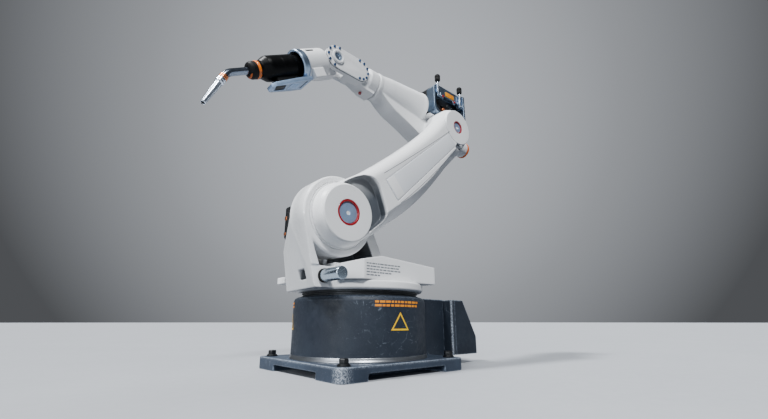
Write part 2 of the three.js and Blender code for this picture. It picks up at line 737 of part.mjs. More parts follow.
// ---- Tilt housing and tool: local +X runs along the torch ----------------------------------

function tiltHousing() {
  const { rear, front, radius } = TILT;
  const drum = turnedX([
    [0, rear], [radius - 5, rear], [radius, rear + 5], [radius, front - 2], [radius - 2, front], [0, front],
  ], 36);
  const eye = turnedY(rod(37, -23, 23), 28);
  const bridge = box(0, rear + 10, -23, 23, -36, 36);
  const slot = box(97, 133, 38, 60, 30, 38);
  const sideLug = box(90, 136, 18, 50, -66, -34);
  const tail = box(14, 76, -22, 22, -54, -34);
  return cut(join(drum, eye, bridge, sideLug, tail), slot);
}

function clampRing() {
  const start = TILT.front + GAP;
  const bore = TORCH.body + 0.6;
  return turnedX([
    [0, start], [55, start], [56.5, start + 2], [56.5, 168], [55, 170], [bore + 1, 170], [bore, 168],
    [bore, 153], [0, 153],
  ], 36);
}

function torchBody() {
  const { body, bodyEnd } = TORCH;
  return turnedX([
    [0, 153.4], [39, 153.4], [39, 182], [body, 190], [body, 282], [40.5, 290], [33, 304], [29.5, 309],
    [29, bodyEnd], [0, bodyEnd],
  ], 36);
}

function torchBracket() {
  const top = -TILT.radius - 0.8;
  const plan = outline([
    [150, -42], [200, -42], [290, -28], [302, -16], [302, 16], [290, 28], [200, 42], [150, 42],
  ]);
  const plate = slabZ(plan, top - 12, top, 1.5);
  const saddle = box(190, 272, -20, 20, top - 4, -34);
  const hole = outline([[236, -20], [278, -20], [290, 20], [248, 20]]);
  const peak = new THREE.ConeGeometry(24, 20, 4, 1).rotateY(Math.PI / 4).rotateX(Math.PI / 2);
  return cut(
    join(plate, saddle),
    turnedX(rod(TORCH.body + 0.6, 100, 400), 36),
    slabZ(hole, -90, -30),
    box(162, 169, -30, 30, -90, -40),
    peak.translate(208, 0, top - 8),
  );
}

const NECK = { start: 336, corner: 425, reach: 14.8 };

function neckGeometry() {
  const bend = THREE.MathUtils.degToRad(TORCH.bend);
  const corner = new THREE.Vector3(NECK.corner, 0, 0);
  const run = new THREE.Vector3(Math.cos(bend), 0, -Math.sin(bend));
  const path = new THREE.CurvePath();
  const before = new THREE.Vector3(NECK.corner - NECK.reach, 0, 0);
  const after = corner.clone().addScaledVector(run, NECK.reach);
  path.add(new THREE.LineCurve3(new THREE.Vector3(NECK.start, 0, 0), before));
  path.add(new THREE.QuadraticBezierCurve3(before, corner, after));
  return new THREE.ExtrudeGeometry(disc(TORCH.neck), {
    steps: 16, curveSegments: 7, bevelEnabled: false, extrudePath: path,
  });
}

function torchTip() {
  const group = new THREE.Group();
  const bend = THREE.MathUtils.degToRad(TORCH.bend);
  const { tip } = TORCH;
  const bore = tip - 20;
  group.position.set(NECK.corner + NECK.reach * Math.cos(bend), 0, -NECK.reach * Math.sin(bend));
  group.rotation.y = bend;
  group.add(part('copper_band', turnedX(rod(13.2, 0.4, 15, 1), 20), COPPER));
  group.add(part('gas_nozzle', turnedX([
    [0, 15.4], [13, 15.4], [13.6, 20], [13.6, 30], [11.6, 36], [8, tip], [6, tip], [6, bore], [0, bore],
  ], 20), CHROME));
  group.add(part('contact_tip', turnedX(rod(3, bore + GAP, tip + 5, 0.8), 12), SOOT));
  return group;
}

function tool() {
  const group = new THREE.Group();
  group.add(part('tool_clamp', clampRing(), BLUE_STEEL));
  group.add(part('torch_body', torchBody(), BLACK));
  group.add(part('torch_bracket', torchBracket(), BLUE_STEEL));
  const { bodyEnd, capStart, capEnd, neck } = TORCH;
  group.add(part('torch_ring', turnedX(rod(29.5, bodyEnd + GAP, capStart - GAP, 1.5), 28), ORANGE));
  group.add(part('torch_cap', turnedX([
    [0, capStart], [28.5, capStart], [28.5, capEnd - 12], [25, capEnd - 4], [18, capEnd],
    [neck + GAP, capEnd],
    [neck + GAP, NECK.start - 0.6], [0, NECK.start - 0.6],
  ], 28), RUBBER));
  group.add(part('torch_neck', neckGeometry(), DARK_CHROME));
  group.add(torchTip());
  return group;
}

function tilt() {
  const group = new THREE.Group();
  group.add(part('tilt_housing', tiltHousing(), PAINT));
  group.add(tool());
  return group;
}

// ---- Assembly -----------------------------------------------------------------------------

const robot = new THREE.Group();
robot.name = 'welding_robot';
robot.add(base());
robot.add(turret());

export default robot;
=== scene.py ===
"""Six-axis arc-welding robot: detailed pieces, materials, floor, lights and camera."""

import math
import random

import bmesh
import bpy
from mathutils import Matrix, Vector


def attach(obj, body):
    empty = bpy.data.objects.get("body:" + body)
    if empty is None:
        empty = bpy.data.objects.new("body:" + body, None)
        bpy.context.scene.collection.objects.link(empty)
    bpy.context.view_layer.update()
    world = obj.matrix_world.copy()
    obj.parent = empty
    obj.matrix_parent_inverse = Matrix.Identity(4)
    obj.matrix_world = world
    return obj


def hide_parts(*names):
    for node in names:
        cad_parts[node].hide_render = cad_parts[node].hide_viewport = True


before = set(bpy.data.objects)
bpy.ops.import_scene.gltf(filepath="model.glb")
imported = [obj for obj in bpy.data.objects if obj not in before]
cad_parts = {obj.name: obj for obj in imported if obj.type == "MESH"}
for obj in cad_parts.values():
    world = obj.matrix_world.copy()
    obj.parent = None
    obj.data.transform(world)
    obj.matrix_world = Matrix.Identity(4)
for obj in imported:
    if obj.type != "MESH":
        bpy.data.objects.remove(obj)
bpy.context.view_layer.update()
MM = 0.001

# ---- Frames of the moving groups, in millimetres, as in the CAD ----

SHOULDER_X, SHOULDER_Z = 172, 465
LEAN = -49.2
LINK_LENGTH = 738
PITCH = -3
ROLL_Z = 117
WRIST_AT = (552, 0, ROLL_Z)
TORCH_PITCH = 33.5
NECK_BEND = 36
NECK_CORNER = 425
NECK_REACH = 14.8


def moved(x, y, z):
    return Matrix.Translation((x, y, z))


def turned(degrees):
    return Matrix.Rotation(math.radians(degrees), 4, "Y")


WORLD = Matrix.Identity(4)
SHOULDER_AT = moved(SHOULDER_X, 0, SHOULDER_Z)
LINK = SHOULDER_AT @ turned(LEAN)
FOREARM = LINK @ moved(0, 0, LINK_LENGTH) @ turned(PITCH - LEAN)
FEEDER = FOREARM @ turned(-PITCH)
WRIST = FOREARM @ moved(*WRIST_AT)
TOOL = WRIST @ turned(TORCH_PITCH)
BEND = math.radians(NECK_BEND)
TIP = (TOOL @ moved(NECK_CORNER + NECK_REACH * math.cos(BEND), 0, -NECK_REACH * math.sin(BEND))
       @ turned(NECK_BEND))
PANEL = moved(-430, 0, 160.5) @ turned(-61.2)

# ---- Raw shapes: (points, faces), in millimetres ----


def bent(start, corner, end, t):
    """A point of the bend that leads from start to end round a corner."""
    return start * (1 - t) ** 2 + corner * 2 * t * (1 - t) + end * t * t


def soften(points, radius):
    """The same open profile with each inner corner replaced by a small bend."""
    out = [Vector(points[0])]
    for a, b, c in zip(points, points[1:], points[2:]):
        a, b, c = Vector(a), Vector(b), Vector(c)
        reach_a = min(radius, (a - b).length * 0.45)
        reach_c = min(radius, (c - b).length * 0.45)
        start = b + (a - b).normalized() * reach_a
        end = b + (c - b).normalized() * reach_c
        out += [bent(start, b, end, k / 4) for k in range(5)]
    out.append(Vector(points[-1]))
    return [(p.x, p.y) for p in out]


def lathe(profile, axis="Z", steps=96, soft=1.2, closed=False, lobes=0, depth=0.0):
    """A turned solid from (radius, height) points. An open profile is carried on to the axis at both
    ends, and a closed one makes a ring. lobes cuts that many flutes into the rim."""
    if closed:
        profile = [*profile, profile[0]]
    else:
        tail = [(0, profile[-1][1])] if profile[-1][0] > 0 else []
        profile = [(0, profile[0][1]), *profile, *tail]
    if soft:
        profile = soften(profile, soft)
    if closed:
        profile = profile[:-1]
    points, faces, rings = [], [], []
    for radius, height in profile:
        if radius < 1e-6:
            rings.append([len(points)] * steps)
            points.append(place(axis, 0, 0, height))
            continue
        ring = []
        for k in range(steps):
            angle = 2 * math.pi * k / steps
            r = radius - depth * (0.5 + 0.5 * math.cos(lobes * angle)) if lobes else radius
            ring.append(len(points))
            points.append(place(axis, r * math.cos(angle), r * math.sin(angle), height))
        rings.append(ring)
    pairs = list(zip(rings, rings[1:]))
    if closed:
        pairs.append((rings[-1], rings[0]))
    for low, high in pairs:
        for k in range(steps):
            n = (k + 1) % steps
            face = []
            for index in (low[k], low[n], high[n], high[k]):
                if index not in face:
                    face.append(index)
            if len(face) > 2:
                faces.append(face)
    return points, faces


def cylinder(radius, low, high, axis="Z", steps=96):
    return lathe([(radius, low), (radius, high)], axis, steps, 0)


def place(axis, u, v, along):
    """The point (u, v) of a flat outline, along an axis."""
    return {"Z": (u, v, along), "Y": (u, along, v), "X": (along, u, v)}[axis]


def prism(outline, axis, low, high):
    """An extruded outline: (x, y) for Z, (x, z) for Y and (y, z) for X."""
    n = len(outline)
    points = [place(axis, u, v, low) for u, v in outline] + [place(axis, u, v, high) for u, v in outline]
    faces = [list(range(n)), list(range(n, 2 * n))]
    faces += [[k, (k + 1) % n, n + (k + 1) % n, n + k] for k in range(n)]
    return points, faces


def block(x0, x1, y0, y1, z0, z1):
    return prism([(x0, y0), (x1, y0), (x1, y1), (x0, y1)], "Z", z0, z1)


def arc(x, y, radius, start, end, steps):
    """Points of an arc between two angles in degrees."""
    out = []
    for k in range(steps + 1):
        angle = math.radians(start + (end - start) * k / steps)
        out.append((x + radius * math.cos(angle), y + radius * math.sin(angle)))
    return out


def rounded(width, height, radius, x=0, y=0, steps=6):
    w, h = width / 2 - radius, height / 2 - radius
    corners = [(x + w, y + h, 0), (x - w, y + h, 90), (x - w, y - h, 180), (x + w, y - h, 270)]
    return [p for cx, cy, a in corners for p in arc(cx, cy, radius, a, a + 90, steps)]


def curve(points, steps):
    """Points of one Bezier curve of any degree, without its first point."""
    out = []
    for k in range(1, steps + 1):
        t = k / steps
        level = [Vector(p) for p in points]
        while len(level) > 1:
            level = [a.lerp(b, t) for a, b in zip(level, level[1:])]
        out.append((level[0].x, level[0].y))
    return out


def hull(points):
    """The convex solid round some points."""
    mesh = bmesh.new()
    for p in points:
        mesh.verts.new(p)
    made = bmesh.ops.convex_hull(mesh, input=list(mesh.verts))
    unused = set(made["geom_interior"] + made["geom_unused"])
    loose = [item for item in unused if isinstance(item, bmesh.types.BMVert)]
    bmesh.ops.delete(mesh, geom=loose, context="VERTS")
    mesh.verts.ensure_lookup_table()
    mesh.verts.index_update()
    out = [v.co.copy() for v in mesh.verts], [[v.index for v in f.verts] for f in mesh.faces]
    mesh.free()
    return out


def sweep(path, radius, steps):
    """A round bar along a path in the XZ plane."""
    points, faces = [], []
    path = [Vector(p) for p in path]
    for i, p in enumerate(path):
        ahead = (path[min(i + 1, len(path) - 1)] - path[max(i - 1, 0)]).normalized()
        side = Vector((0, 1, 0))
        up = side.cross(ahead)
        for k in range(steps):
            angle = 2 * math.pi * k / steps
            points.append(p + side * radius * math.cos(angle) + up * radius * math.sin(angle))
    for i in range(len(path) - 1):
        for k in range(steps):
            n = (k + 1) % steps
            faces.append([i * steps + k, i * steps + n, (i + 1) * steps + n, (i + 1) * steps + k])
    faces.append(list(range(steps)))
    faces.append([len(points) - steps + k for k in range(steps)])
    return points, faces


def shifted(shape, x, y, z):
    points, faces = shape
    return [Vector(p) + Vector((x, y, z)) for p in points], faces


# ---- Objects ----


def add_object(name, data):
    made = bpy.data.objects.new(name, data)
    bpy.context.scene.collection.objects.link(made)
    return made


def to_object(shape, matrix):
    """An object in metres from a raw shape, placed by a matrix."""
    points, faces = shape
    mesh = bpy.data.meshes.new("scratch")
    mesh.from_pydata([(matrix @ Vector(p)) * MM for p in points], [], faces)
    work = bmesh.new()
    work.from_mesh(mesh)
    bmesh.ops.remove_doubles(work, verts=work.verts, dist=1e-6)
    bmesh.ops.recalc_face_normals(work, faces=work.faces)
    work.to_mesh(mesh)
    work.free()
    return add_object("scratch", mesh)


def baked(made):
    """Applies the modifiers of an object to its mesh."""
    graph = bpy.context.evaluated_depsgraph_get()
    mesh = bpy.data.meshes.new_from_object(made.evaluated_get(graph))
    made.modifiers.clear()
    made.data = mesh
    return made


def drop(made):
    bpy.data.objects.remove(made, do_unlink=True)


def carve(made, shapes, matrix, operation="DIFFERENCE"):
    """Cuts shapes away from an object, or with INTERSECT keeps what it shares with them."""
    for shape in shapes:
        tool = to_object(shape, matrix)
        cut = made.modifiers.new("cut", "BOOLEAN")
        cut.operation = operation
        cut.solver = "EXACT"
        cut.object = tool
        baked(made)
        drop(tool)
    return made


def less(shape, cuts, matrix):
    """An object of a shape with other shapes cut away."""
    return carve(to_object(shape, matrix), cuts, matrix)


def merged(objects, name):
    """One object from several, with their shapes left overlapping."""
    work = bmesh.new()
    for made in objects:
        work.from_mesh(made.data)
        drop(made)
    mesh = bpy.data.meshes.new(name)
    work.to_mesh(mesh)
    work.free()
    return add_object(name, mesh)


def smooth_by_angle(made, degrees):
    """Smooth shading, with sharp edges where faces meet at more than an angle."""
    limit = math.radians(degrees)
    work = bmesh.new()
    work.from_mesh(made.data)
    for face in work.faces:
        face.smooth = True
    for edge in work.edges:
        edge.smooth = not edge.is_manifold or edge.calc_face_angle(0.0) < limit
    work.to_mesh(made.data)
    work.free()


def clamp(value):
    return min(max(value, 0), 1)


def paint_mask(made, name, amount, back=None):
    """Stores amount(x, y, z), from 0 to 1, at each vertex. The point is in millimetres."""
    values = []
    for vertex in made.data.vertices:
        point = vertex.co / MM
        if back:
            point = back @ point
        values.append(clamp(amount(*point)))
    made.data.attributes.new(name, "FLOAT", "POINT").data.foreach_set("value", values)


def finish_piece(made, name, material, body, nodes):
    """Names and paints an object, ties it to its body, and hides the CAD nodes that it stands for."""
    made.name = name
    made.data.name = name
    made.data.materials.clear()
    made.data.materials.append(material)
    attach(made, body)
    if nodes:
        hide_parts(*nodes)
    return made


def cast(name, objects, voxel, relax, material, body, nodes):
    """A casting: overlapping solids fused by a remesh, with their edges rounded by smoothing."""
    made = merged(objects, name)
    fuse = made.modifiers.new("fuse", "REMESH")
    fuse.mode = "VOXEL"
    fuse.voxel_size = voxel * MM
    fuse.adaptivity = 0.0
    ease = made.modifiers.new("ease", "SMOOTH")
    ease.factor = 0.5
    ease.iterations = relax
    baked(made)
    for face in made.data.polygons:
        face.use_smooth = True
    return finish_piece(made, name, material, body, nodes)


def crisp(name, objects, material, body, nodes=(), bevel=0.0, angle=32):
    """A machined piece: its shapes as they are, with an optional small bevel."""
    made = merged(objects, name)
    if bevel:
        edge = made.modifiers.new("edge", "BEVEL")
        edge.width = bevel * MM
        edge.segments = 3
        edge.limit_method = "ANGLE"
        edge.angle_limit = math.radians(angle)
        edge.use_clamp_overlap = True
        baked(made)
    smooth_by_angle(made, angle)
    return finish_piece(made, name, material, body, nodes)


def solid(name, shapes, matrix, material, body, nodes=(), bevel=0.0, angle=32):
    """A machined piece straight from raw shapes."""
    objects = [to_object(shape, matrix) for shape in shapes]
    return crisp(name, objects, material, body, nodes, bevel, angle)


# ---- Materials ----


class Nodes:
    """The shader nodes of a material or world, built by short calls."""

    def __init__(self, owner, shader="Principled BSDF", space="Object"):
        owner.use_nodes = True
        self.owner = owner
        self.tree = owner.node_tree
        self.shader = self.tree.nodes[shader]
        self.place = self.add("ShaderNodeTexCoord").outputs[space]

    def add(self, kind, **values):
        node = self.tree.nodes.new(kind)
        for key, value in values.items():
            setattr(node, key, value)
        return node

    def link(self, source, target):
        self.tree.links.new(source, target)

    def noise(self, scale, detail, rough=0.55, place=None):
        node = self.add("ShaderNodeTexNoise")
        node.inputs["Scale"].default_value = scale
        node.inputs["Detail"].default_value = detail
        node.inputs["Roughness"].default_value = rough
        self.link(place or self.place, node.inputs["Vector"])
        return node.outputs["Fac"]

    def stretched(self, x, y, z):
        """The object's coordinates scaled, so that noise is finer along an axis."""
        node = self.add("ShaderNodeMapping")
        node.inputs["Scale"].default_value = (x, y, z)
        self.link(self.place, node.inputs["Vector"])
        return node.outputs["Vector"]

    def ramp(self, value, low, high, out_low=0.0, out_high=1.0):
        """Rises from out_low, where the value is low or less, to out_high, where it is high or more."""
        node = self.add("ShaderNodeMapRange")
        levels = {"From Min": low, "From Max": high, "To Min": out_low, "To Max": out_high}
        for socket, level in levels.items():
            node.inputs[socket].default_value = level
        self.link(value, node.inputs["Value"])
        return node.outputs["Result"]

    def times(self, a, b, operation="MULTIPLY"):
        """A value times a number or another value."""
        node = self.add("ShaderNodeMath", operation=operation)
        self.link(a, node.inputs[0])
        if isinstance(b, float):
            node.inputs[1].default_value = b
        else:
            self.link(b, node.inputs[1])
        return node.outputs[0]

    def most(self, a, b):
        return self.times(a, b, "MAXIMUM")

    def stored(self, name):
        """A value that paint_mask stored at the vertices."""
        return self.add("ShaderNodeAttribute", attribute_name=name).outputs["Fac"]

    def mix(self, amount, first, second):
        """A colour between two, each a colour or a socket."""
        node = self.add("ShaderNodeMix", data_type="RGBA")
        self.link(amount, node.inputs["Factor"])
        for value, socket in zip((first, second), [s for s in node.inputs if s.type == "RGBA"]):
            if isinstance(value, tuple):
                socket.default_value = (*value, 1)
            else:
                self.link(value, socket)
        return [s for s in node.outputs if s.type == "RGBA"][0]

    def edges(self, low=0.52, high=0.6):
        """Near 1 on sharp outer edges."""
        return self.ramp(self.add("ShaderNodeNewGeometry").outputs["Pointiness"], low, high)

    def bump(self, height, distance, strength):
        """Relief up to a distance in millimetres."""
        node = self.add("ShaderNodeBump")
        node.inputs["Distance"].default_value = distance * MM
        node.inputs["Strength"].default_value = strength
        self.link(height, node.inputs["Height"])
        self.link(node.outputs["Normal"], self.shader.inputs["Normal"])

    def set(self, socket, value):
        """A plain number on the main shader."""
        self.shader.inputs[socket].default_value = value

    def surface(self, tone, rough):
        """Colour and roughness of the surface, each from a socket."""
        self.link(tone, self.shader.inputs["Base Color"])
        self.link(rough, self.shader.inputs["Roughness"])


def painted(name, color, dirt, rough, wear=None, shade=None):
    """Sprayed paint: orange peel, faint cloudiness and grime, worn edges if wear is a colour, and
    painted shade in a second colour where the piece has a shade mask."""
    n = Nodes(bpy.data.materials.new(name))
    cloud = n.ramp(n.noise(5.0, 5.0, 0.6), 0.35, 0.75)
    tone = n.mix(cloud, color, tuple(c * 0.93 for c in color))
    grime = n.times(n.ramp(n.noise(23.0, 8.0, 0.7), 0.58, 0.8), 0.45)
    tone = n.mix(grime, tone, dirt)
    if wear:
        worn = n.times(n.edges(), n.ramp(n.noise(90.0, 4.0, 0.7), 0.45, 0.6))
        tone = n.mix(worn, tone, wear)
    # Painted shade: the shade colour laid where the piece's shade mask is set.
    if shade:
        tone = n.mix(n.stored("shade"), tone, shade)
    n.surface(tone, n.ramp(n.noise(40.0, 6.0), 0.3, 0.75, rough - 0.07, rough + 0.1))
    n.bump(n.noise(900.0, 2.0), 0.12, 0.35)
    return n.owner


def scratches(n):
    """Thin crooked lines in patches: the edges of warped cells, broken up."""
    warp = n.add("ShaderNodeTexNoise")
    warp.inputs["Scale"].default_value = 9.0
    n.link(n.place, warp.inputs["Vector"])
    smaller = n.add("ShaderNodeVectorMath", operation="SCALE")
    smaller.inputs["Scale"].default_value = 0.12
    n.link(warp.outputs["Color"], smaller.inputs[0])
    twisted = n.add("ShaderNodeVectorMath", operation="ADD")
    n.link(n.place, twisted.inputs[0])
    n.link(smaller.outputs[0], twisted.inputs[1])
    web = n.add("ShaderNodeTexVoronoi", feature="DISTANCE_TO_EDGE")
    web.inputs["Scale"].default_value = 34.0
    n.link(twisted.outputs[0], web.inputs["Vector"])
    line = n.ramp(web.outputs["Distance"], 0.035, 0.0)
    patch = n.ramp(n.noise(6.5, 3.0, 0.6), 0.56, 0.66)
    broken = n.ramp(n.noise(75.0, 3.0, 0.7), 0.5, 0.6)
    return n.times(n.times(line, patch), broken)


def cast_iron(name, dark, light):
    """Dark textured enamel over a casting: specks, scuffs where the piece has a wear mask, a web of
    pale scratches and chipped edges."""
    n = Nodes(bpy.data.materials.new(name))
    cloud = n.ramp(n.noise(7.0, 6.0, 0.65), 0.35, 0.7)
    tone = n.mix(cloud, dark, light)
    speck = n.ramp(n.noise(260.0, 3.0, 0.7), 0.66, 0.76)
    tone = n.mix(n.times(speck, 0.3), tone, (0.30, 0.33, 0.38))
    grit = n.times(n.stored("wear"), n.ramp(n.noise(230.0, 6.0, 0.8), 0.46, 0.58))
    tone = n.mix(grit, tone, (0.42, 0.46, 0.52))
    tone = n.mix(n.times(scratches(n), 0.45), tone, (0.30, 0.35, 0.42))
    worn = n.times(n.edges(0.505, 0.56), n.ramp(n.noise(150.0, 5.0, 0.75), 0.42, 0.62))
    tone = n.mix(n.times(worn, 0.85), tone, (0.33, 0.40, 0.50))
    n.surface(tone, n.ramp(n.noise(55.0, 6.0), 0.3, 0.75, 0.42, 0.68))
    n.set("Specular IOR Level", 0.3)
    height = n.most(n.times(n.noise(210.0, 5.0, 0.65), 0.8), n.times(n.noise(620.0, 2.0), 0.5))
    n.bump(height, 0.8, 0.5)
    return n.owner


def metal(name, color, rough, streak, contrast, relief=0.03, shine=1.0):
    """Machined or plated metal with fine streaks and uneven gloss. shine is how metallic it is."""
    n = Nodes(bpy.data.materials.new(name))
    fine = n.noise(300.0 if relief else 30.0, 4.0, 0.6, n.stretched(*streak))
    broad = n.noise(24.0, 5.0, 0.6)
    tone = n.mix(n.ramp(broad, 0.3, 0.75), color, tuple(c * (1 - contrast) for c in color))
    n.surface(tone, n.ramp(fine, 0.3, 0.7, max(rough - 0.05, 0.04), rough + 0.08))
    n.set("Metallic", shine)
    if relief:
        n.bump(fine, relief, 0.25)
    return n.owner


def moulded(name, color, rough, grain=700.0, depth=0.12, coat=0.0, gloss=0.5):
    """Moulded plastic, rubber, enamel or print: fine grain, dusty edges."""
    n = Nodes(bpy.data.materials.new(name))
    cloud = n.ramp(n.noise(14.0, 5.0, 0.6), 0.35, 0.75)
    tone = n.mix(cloud, color, tuple(min(c * 1.5 + 0.001, 1) for c in color))
    dusty = n.times(n.edges(0.53, 0.62), 0.25)
    tone = n.mix(dusty, tone, tuple(min(c * 2.0 + 0.008, 1) for c in color))
    n.surface(tone, n.ramp(n.noise(60.0, 5.0), 0.3, 0.75, rough - 0.06, rough + 0.1))
    n.bump(n.noise(grain, 3.0), depth, 0.4)
    n.set("Coat Weight", coat)
    n.set("Specular IOR Level", gloss)
    return n.owner


# The shade colours of white_paint and link_paint are painted shade for the pillar's hollows and the
# link's pocket.
WHITE = painted("white_paint", (0.88, 0.885, 0.89), (0.62, 0.61, 0.59), 0.36, (0.66, 0.66, 0.66),
                shade=(0.085, 0.097, 0.115))
LINK_PAINT = painted("link_paint", (0.92, 0.925, 0.93), (0.64, 0.63, 0.61), 0.36,
                     shade=(0.075, 0.085, 0.10))
COVER = painted("cover_paint", (0.82, 0.84, 0.87), (0.54, 0.55, 0.56), 0.38)
PATCH = painted("fresh_paint", (0.95, 0.95, 0.95), (0.68, 0.67, 0.64), 0.4)
# Painted shade: a dark grey laid in the wrist cover's shadow line and the link's grooves and notch.
SHADE = painted("painted_shade_grey", (0.10, 0.11, 0.13), (0.2, 0.2, 0.2), 0.5)
IRON = cast_iron("charcoal_casting", (0.007, 0.011, 0.019), (0.017, 0.024, 0.036))
# A lighter copy of the charcoal enamel for the plate: painted light, as the plate's faces are lit.
IRON_PLATE = cast_iron("charcoal_lit_plate", (0.020, 0.029, 0.046), (0.045, 0.062, 0.092))
BLACK = moulded("black_plastic", (0.0030, 0.0036, 0.0048), 0.42, gloss=0.3)
SATIN_BLACK = moulded("torch_shell", (0.0004, 0.0005, 0.0008), 0.38, 500.0, 0.06, gloss=0.10)
RUBBER = moulded("black_rubber", (0.0016, 0.0017, 0.002), 0.55, 420.0, 0.2, gloss=0.16)
BLUE_STEEL = metal("blue_steel", (0.36, 0.47, 0.62), 0.30, (1, 1, 6), 0.35)
PALE_STEEL = metal("pale_steel", (0.36, 0.50, 0.72), 0.30, (1, 1, 4), 0.3, shine=0.5)
DEEP_STEEL = metal("deep_blue_steel", (0.045, 0.10, 0.22), 0.34, (1, 4, 1), 0.4)
CHROME = metal("chrome", (0.72, 0.80, 0.92), 0.20, (1, 1, 1), 0.12, 0.0)
PIN_STEEL = metal("pin_steel", (0.50, 0.60, 0.70), 0.22, (2, 1, 2), 0.3)
DARK_CHROME = metal("dark_chrome", (0.22, 0.26, 0.33), 0.14, (1, 2, 1), 0.3, 0.0)
CRIMSON = moulded("crimson_enamel", (0.27, 0.002, 0.007), 0.3, 900.0, 0.05, 0.4)
ORANGE = moulded("orange_enamel", (0.90, 0.17, 0.001), 0.36, 900.0, 0.05, 0.3)
LABEL = moulded("label_orange", (0.90, 0.30, 0.001), 0.45, 500.0, 0.04)
BURNT = moulded("burnt_orange", (0.66, 0.13, 0.01), 0.42, 700.0, 0.1)
COPPER = metal("copper", (0.72, 0.25, 0.11), 0.28, (1, 1, 3), 0.3)
SOOT = metal("sooty_steel", (0.045, 0.048, 0.052), 0.5, (1, 1, 1), 0.4)
# A pale steel for the column's foot bead: a painted highlight along the fillet.
BRIGHT = metal("highlight_steel", (0.36, 0.38, 0.41), 0.32, (1, 1, 1), 0.2)
PRINT_ORANGE = moulded("orange_print", (0.80, 0.24, 0.002), 0.5, 300.0, 0.02)
PRINT_YELLOW = moulded("yellow_print", (0.88, 0.46, 0.002), 0.5, 300.0, 0.02)
PRINT_GREY = moulded("grey_print", (0.12, 0.13, 0.15), 0.5, 300.0, 0.02)

# ---- Base ----

PLATE_HALF = 240
PLATE_TOP = 38
ANCHOR_AT = 207
COLUMN_RADIUS = 221
PRINT_RADIUS = COLUMN_RADIUS + 0.35


def build_base():
    """The floor plate with its pockets, the column, the neck and the rear box."""
    inner, outer, height = PLATE_HALF - 90, PLATE_HALF + 6, 18
    cuts = [block(inner, outer, -125, 125, -5, height), block(-outer, -inner, -125, 125, -5, height),
            block(-150, 150, inner, outer, -5, height), block(-150, 150, -outer, -inner, -5, height)]
    spots = [(sx * ANCHOR_AT, sy * ANCHOR_AT) for sx, sy in ((1, 1), (-1, 1), (-1, -1), (1, -1))]
    cuts += [shifted(cylinder(10, -5, 43, steps=32), x, y, 0) for x, y in spots]
    outline = rounded(2 * PLATE_HALF, 2 * PLATE_HALF, 16, steps=8)
    plate = less(prism(outline, "Z", 0, PLATE_TOP), cuts, WORLD)
    made = cast("plate_casting", [plate], 2.2, 2, IRON_PLATE, "base", ["base_plate"])
    paint_mask(made, "wear", plate_wear)
    column = lathe([(222, 38.4), (221.5, 48), (COLUMN_RADIUS, 56), (COLUMN_RADIUS, 210), (217, 219.5),
                    (209, 224)], steps=180, soft=3)
    solid("column_casting", [column], WORLD, IRON, "base", ["base_column"], angle=50)
    # The bead's pale steel is a painted highlight on the column's foot fillet.
    bead = lathe([(218, 38.5), (225, 38.5), (224.6, 41), (222.8, 45), (221.6, 51), (218, 51)],
                 steps=180, soft=0.8, closed=True)
    solid("column_foot_bead", [bead], WORLD, BRIGHT, "base")
    race = lathe([(197, 224.4), (197, 228), (192, 229), (192, 233.5), (195.5, 234.5), (195.5, 239.6)],
                 steps=140, soft=0.6)
    solid("bearing_race", [race], WORLD, SOOT, "base", ["slew_bearing"])
    hole = cylinder(COLUMN_RADIUS + 1, 30, 240, steps=120)
    neck = less(block(-326, -170, -92, 92, 38.4, 228), [hole], WORLD)
    lip = to_object(block(-326, -240.4, -92, 92, 20, 224), WORLD)
    cast("neck_casting", [neck, lip], 2.2, 2, IRON, "base", ["rear_neck"])
    side = [(-326.4, 33), (-326.4, 226), (-394, 226), (-466, 95), (-466, 33)]
    rear = less(prism(side, "Y", -131, 131), [block(-345, -340, -140, 140, 30, 240)], WORLD)
    lip = to_object(block(-345.5, -339.5, -127, 127, 36, 223), WORLD)
    made = cast("rear_housing", [rear, lip], 2.0, 2, IRON, "base", ["rear_box"])
    paint_mask(made, "wear", lambda x, y, z: 1.3 - math.hypot(x + 328, abs(y) - 129) / 5)
    for i, (x, y) in enumerate(spots):
        build_anchor(i + 1, x, y)
    build_rear_panel()
    build_prints()


def plate_wear(x, y, z):
    """Worn along the plate's upper rim, and more at its front left corner."""
    rim = 0.75 - (PLATE_HALF - max(abs(x), abs(y))) / 6 - (PLATE_TOP - z) / 9
    return max(1.35 - math.hypot(x - PLATE_HALF + 2, y - PLATE_HALF + 2) / 30, rim)


def build_anchor(number, x, y):
    washer = lathe([(8.6, 6), (9.4, 7), (9.4, 38.4), (18, 38.4), (18, 41.4)], steps=48, soft=0.7)
    flange = lathe([(16.5, 41.2), (16, 44)], steps=48, soft=0.7)
    head = lathe([(14, 43.5), (14, 55), (12.6, 57)], steps=6, soft=0)
    socket = cylinder(6, 49, 60, steps=6)
    at = moved(x, y, 0)
    parts = [to_object(washer, at), to_object(flange, at), less(head, [socket], at)]
    crisp(f"anchor_screw_{number}", parts, BLACK, "base", [f"anchor_bolt_{number}"],
          0.6, 25)


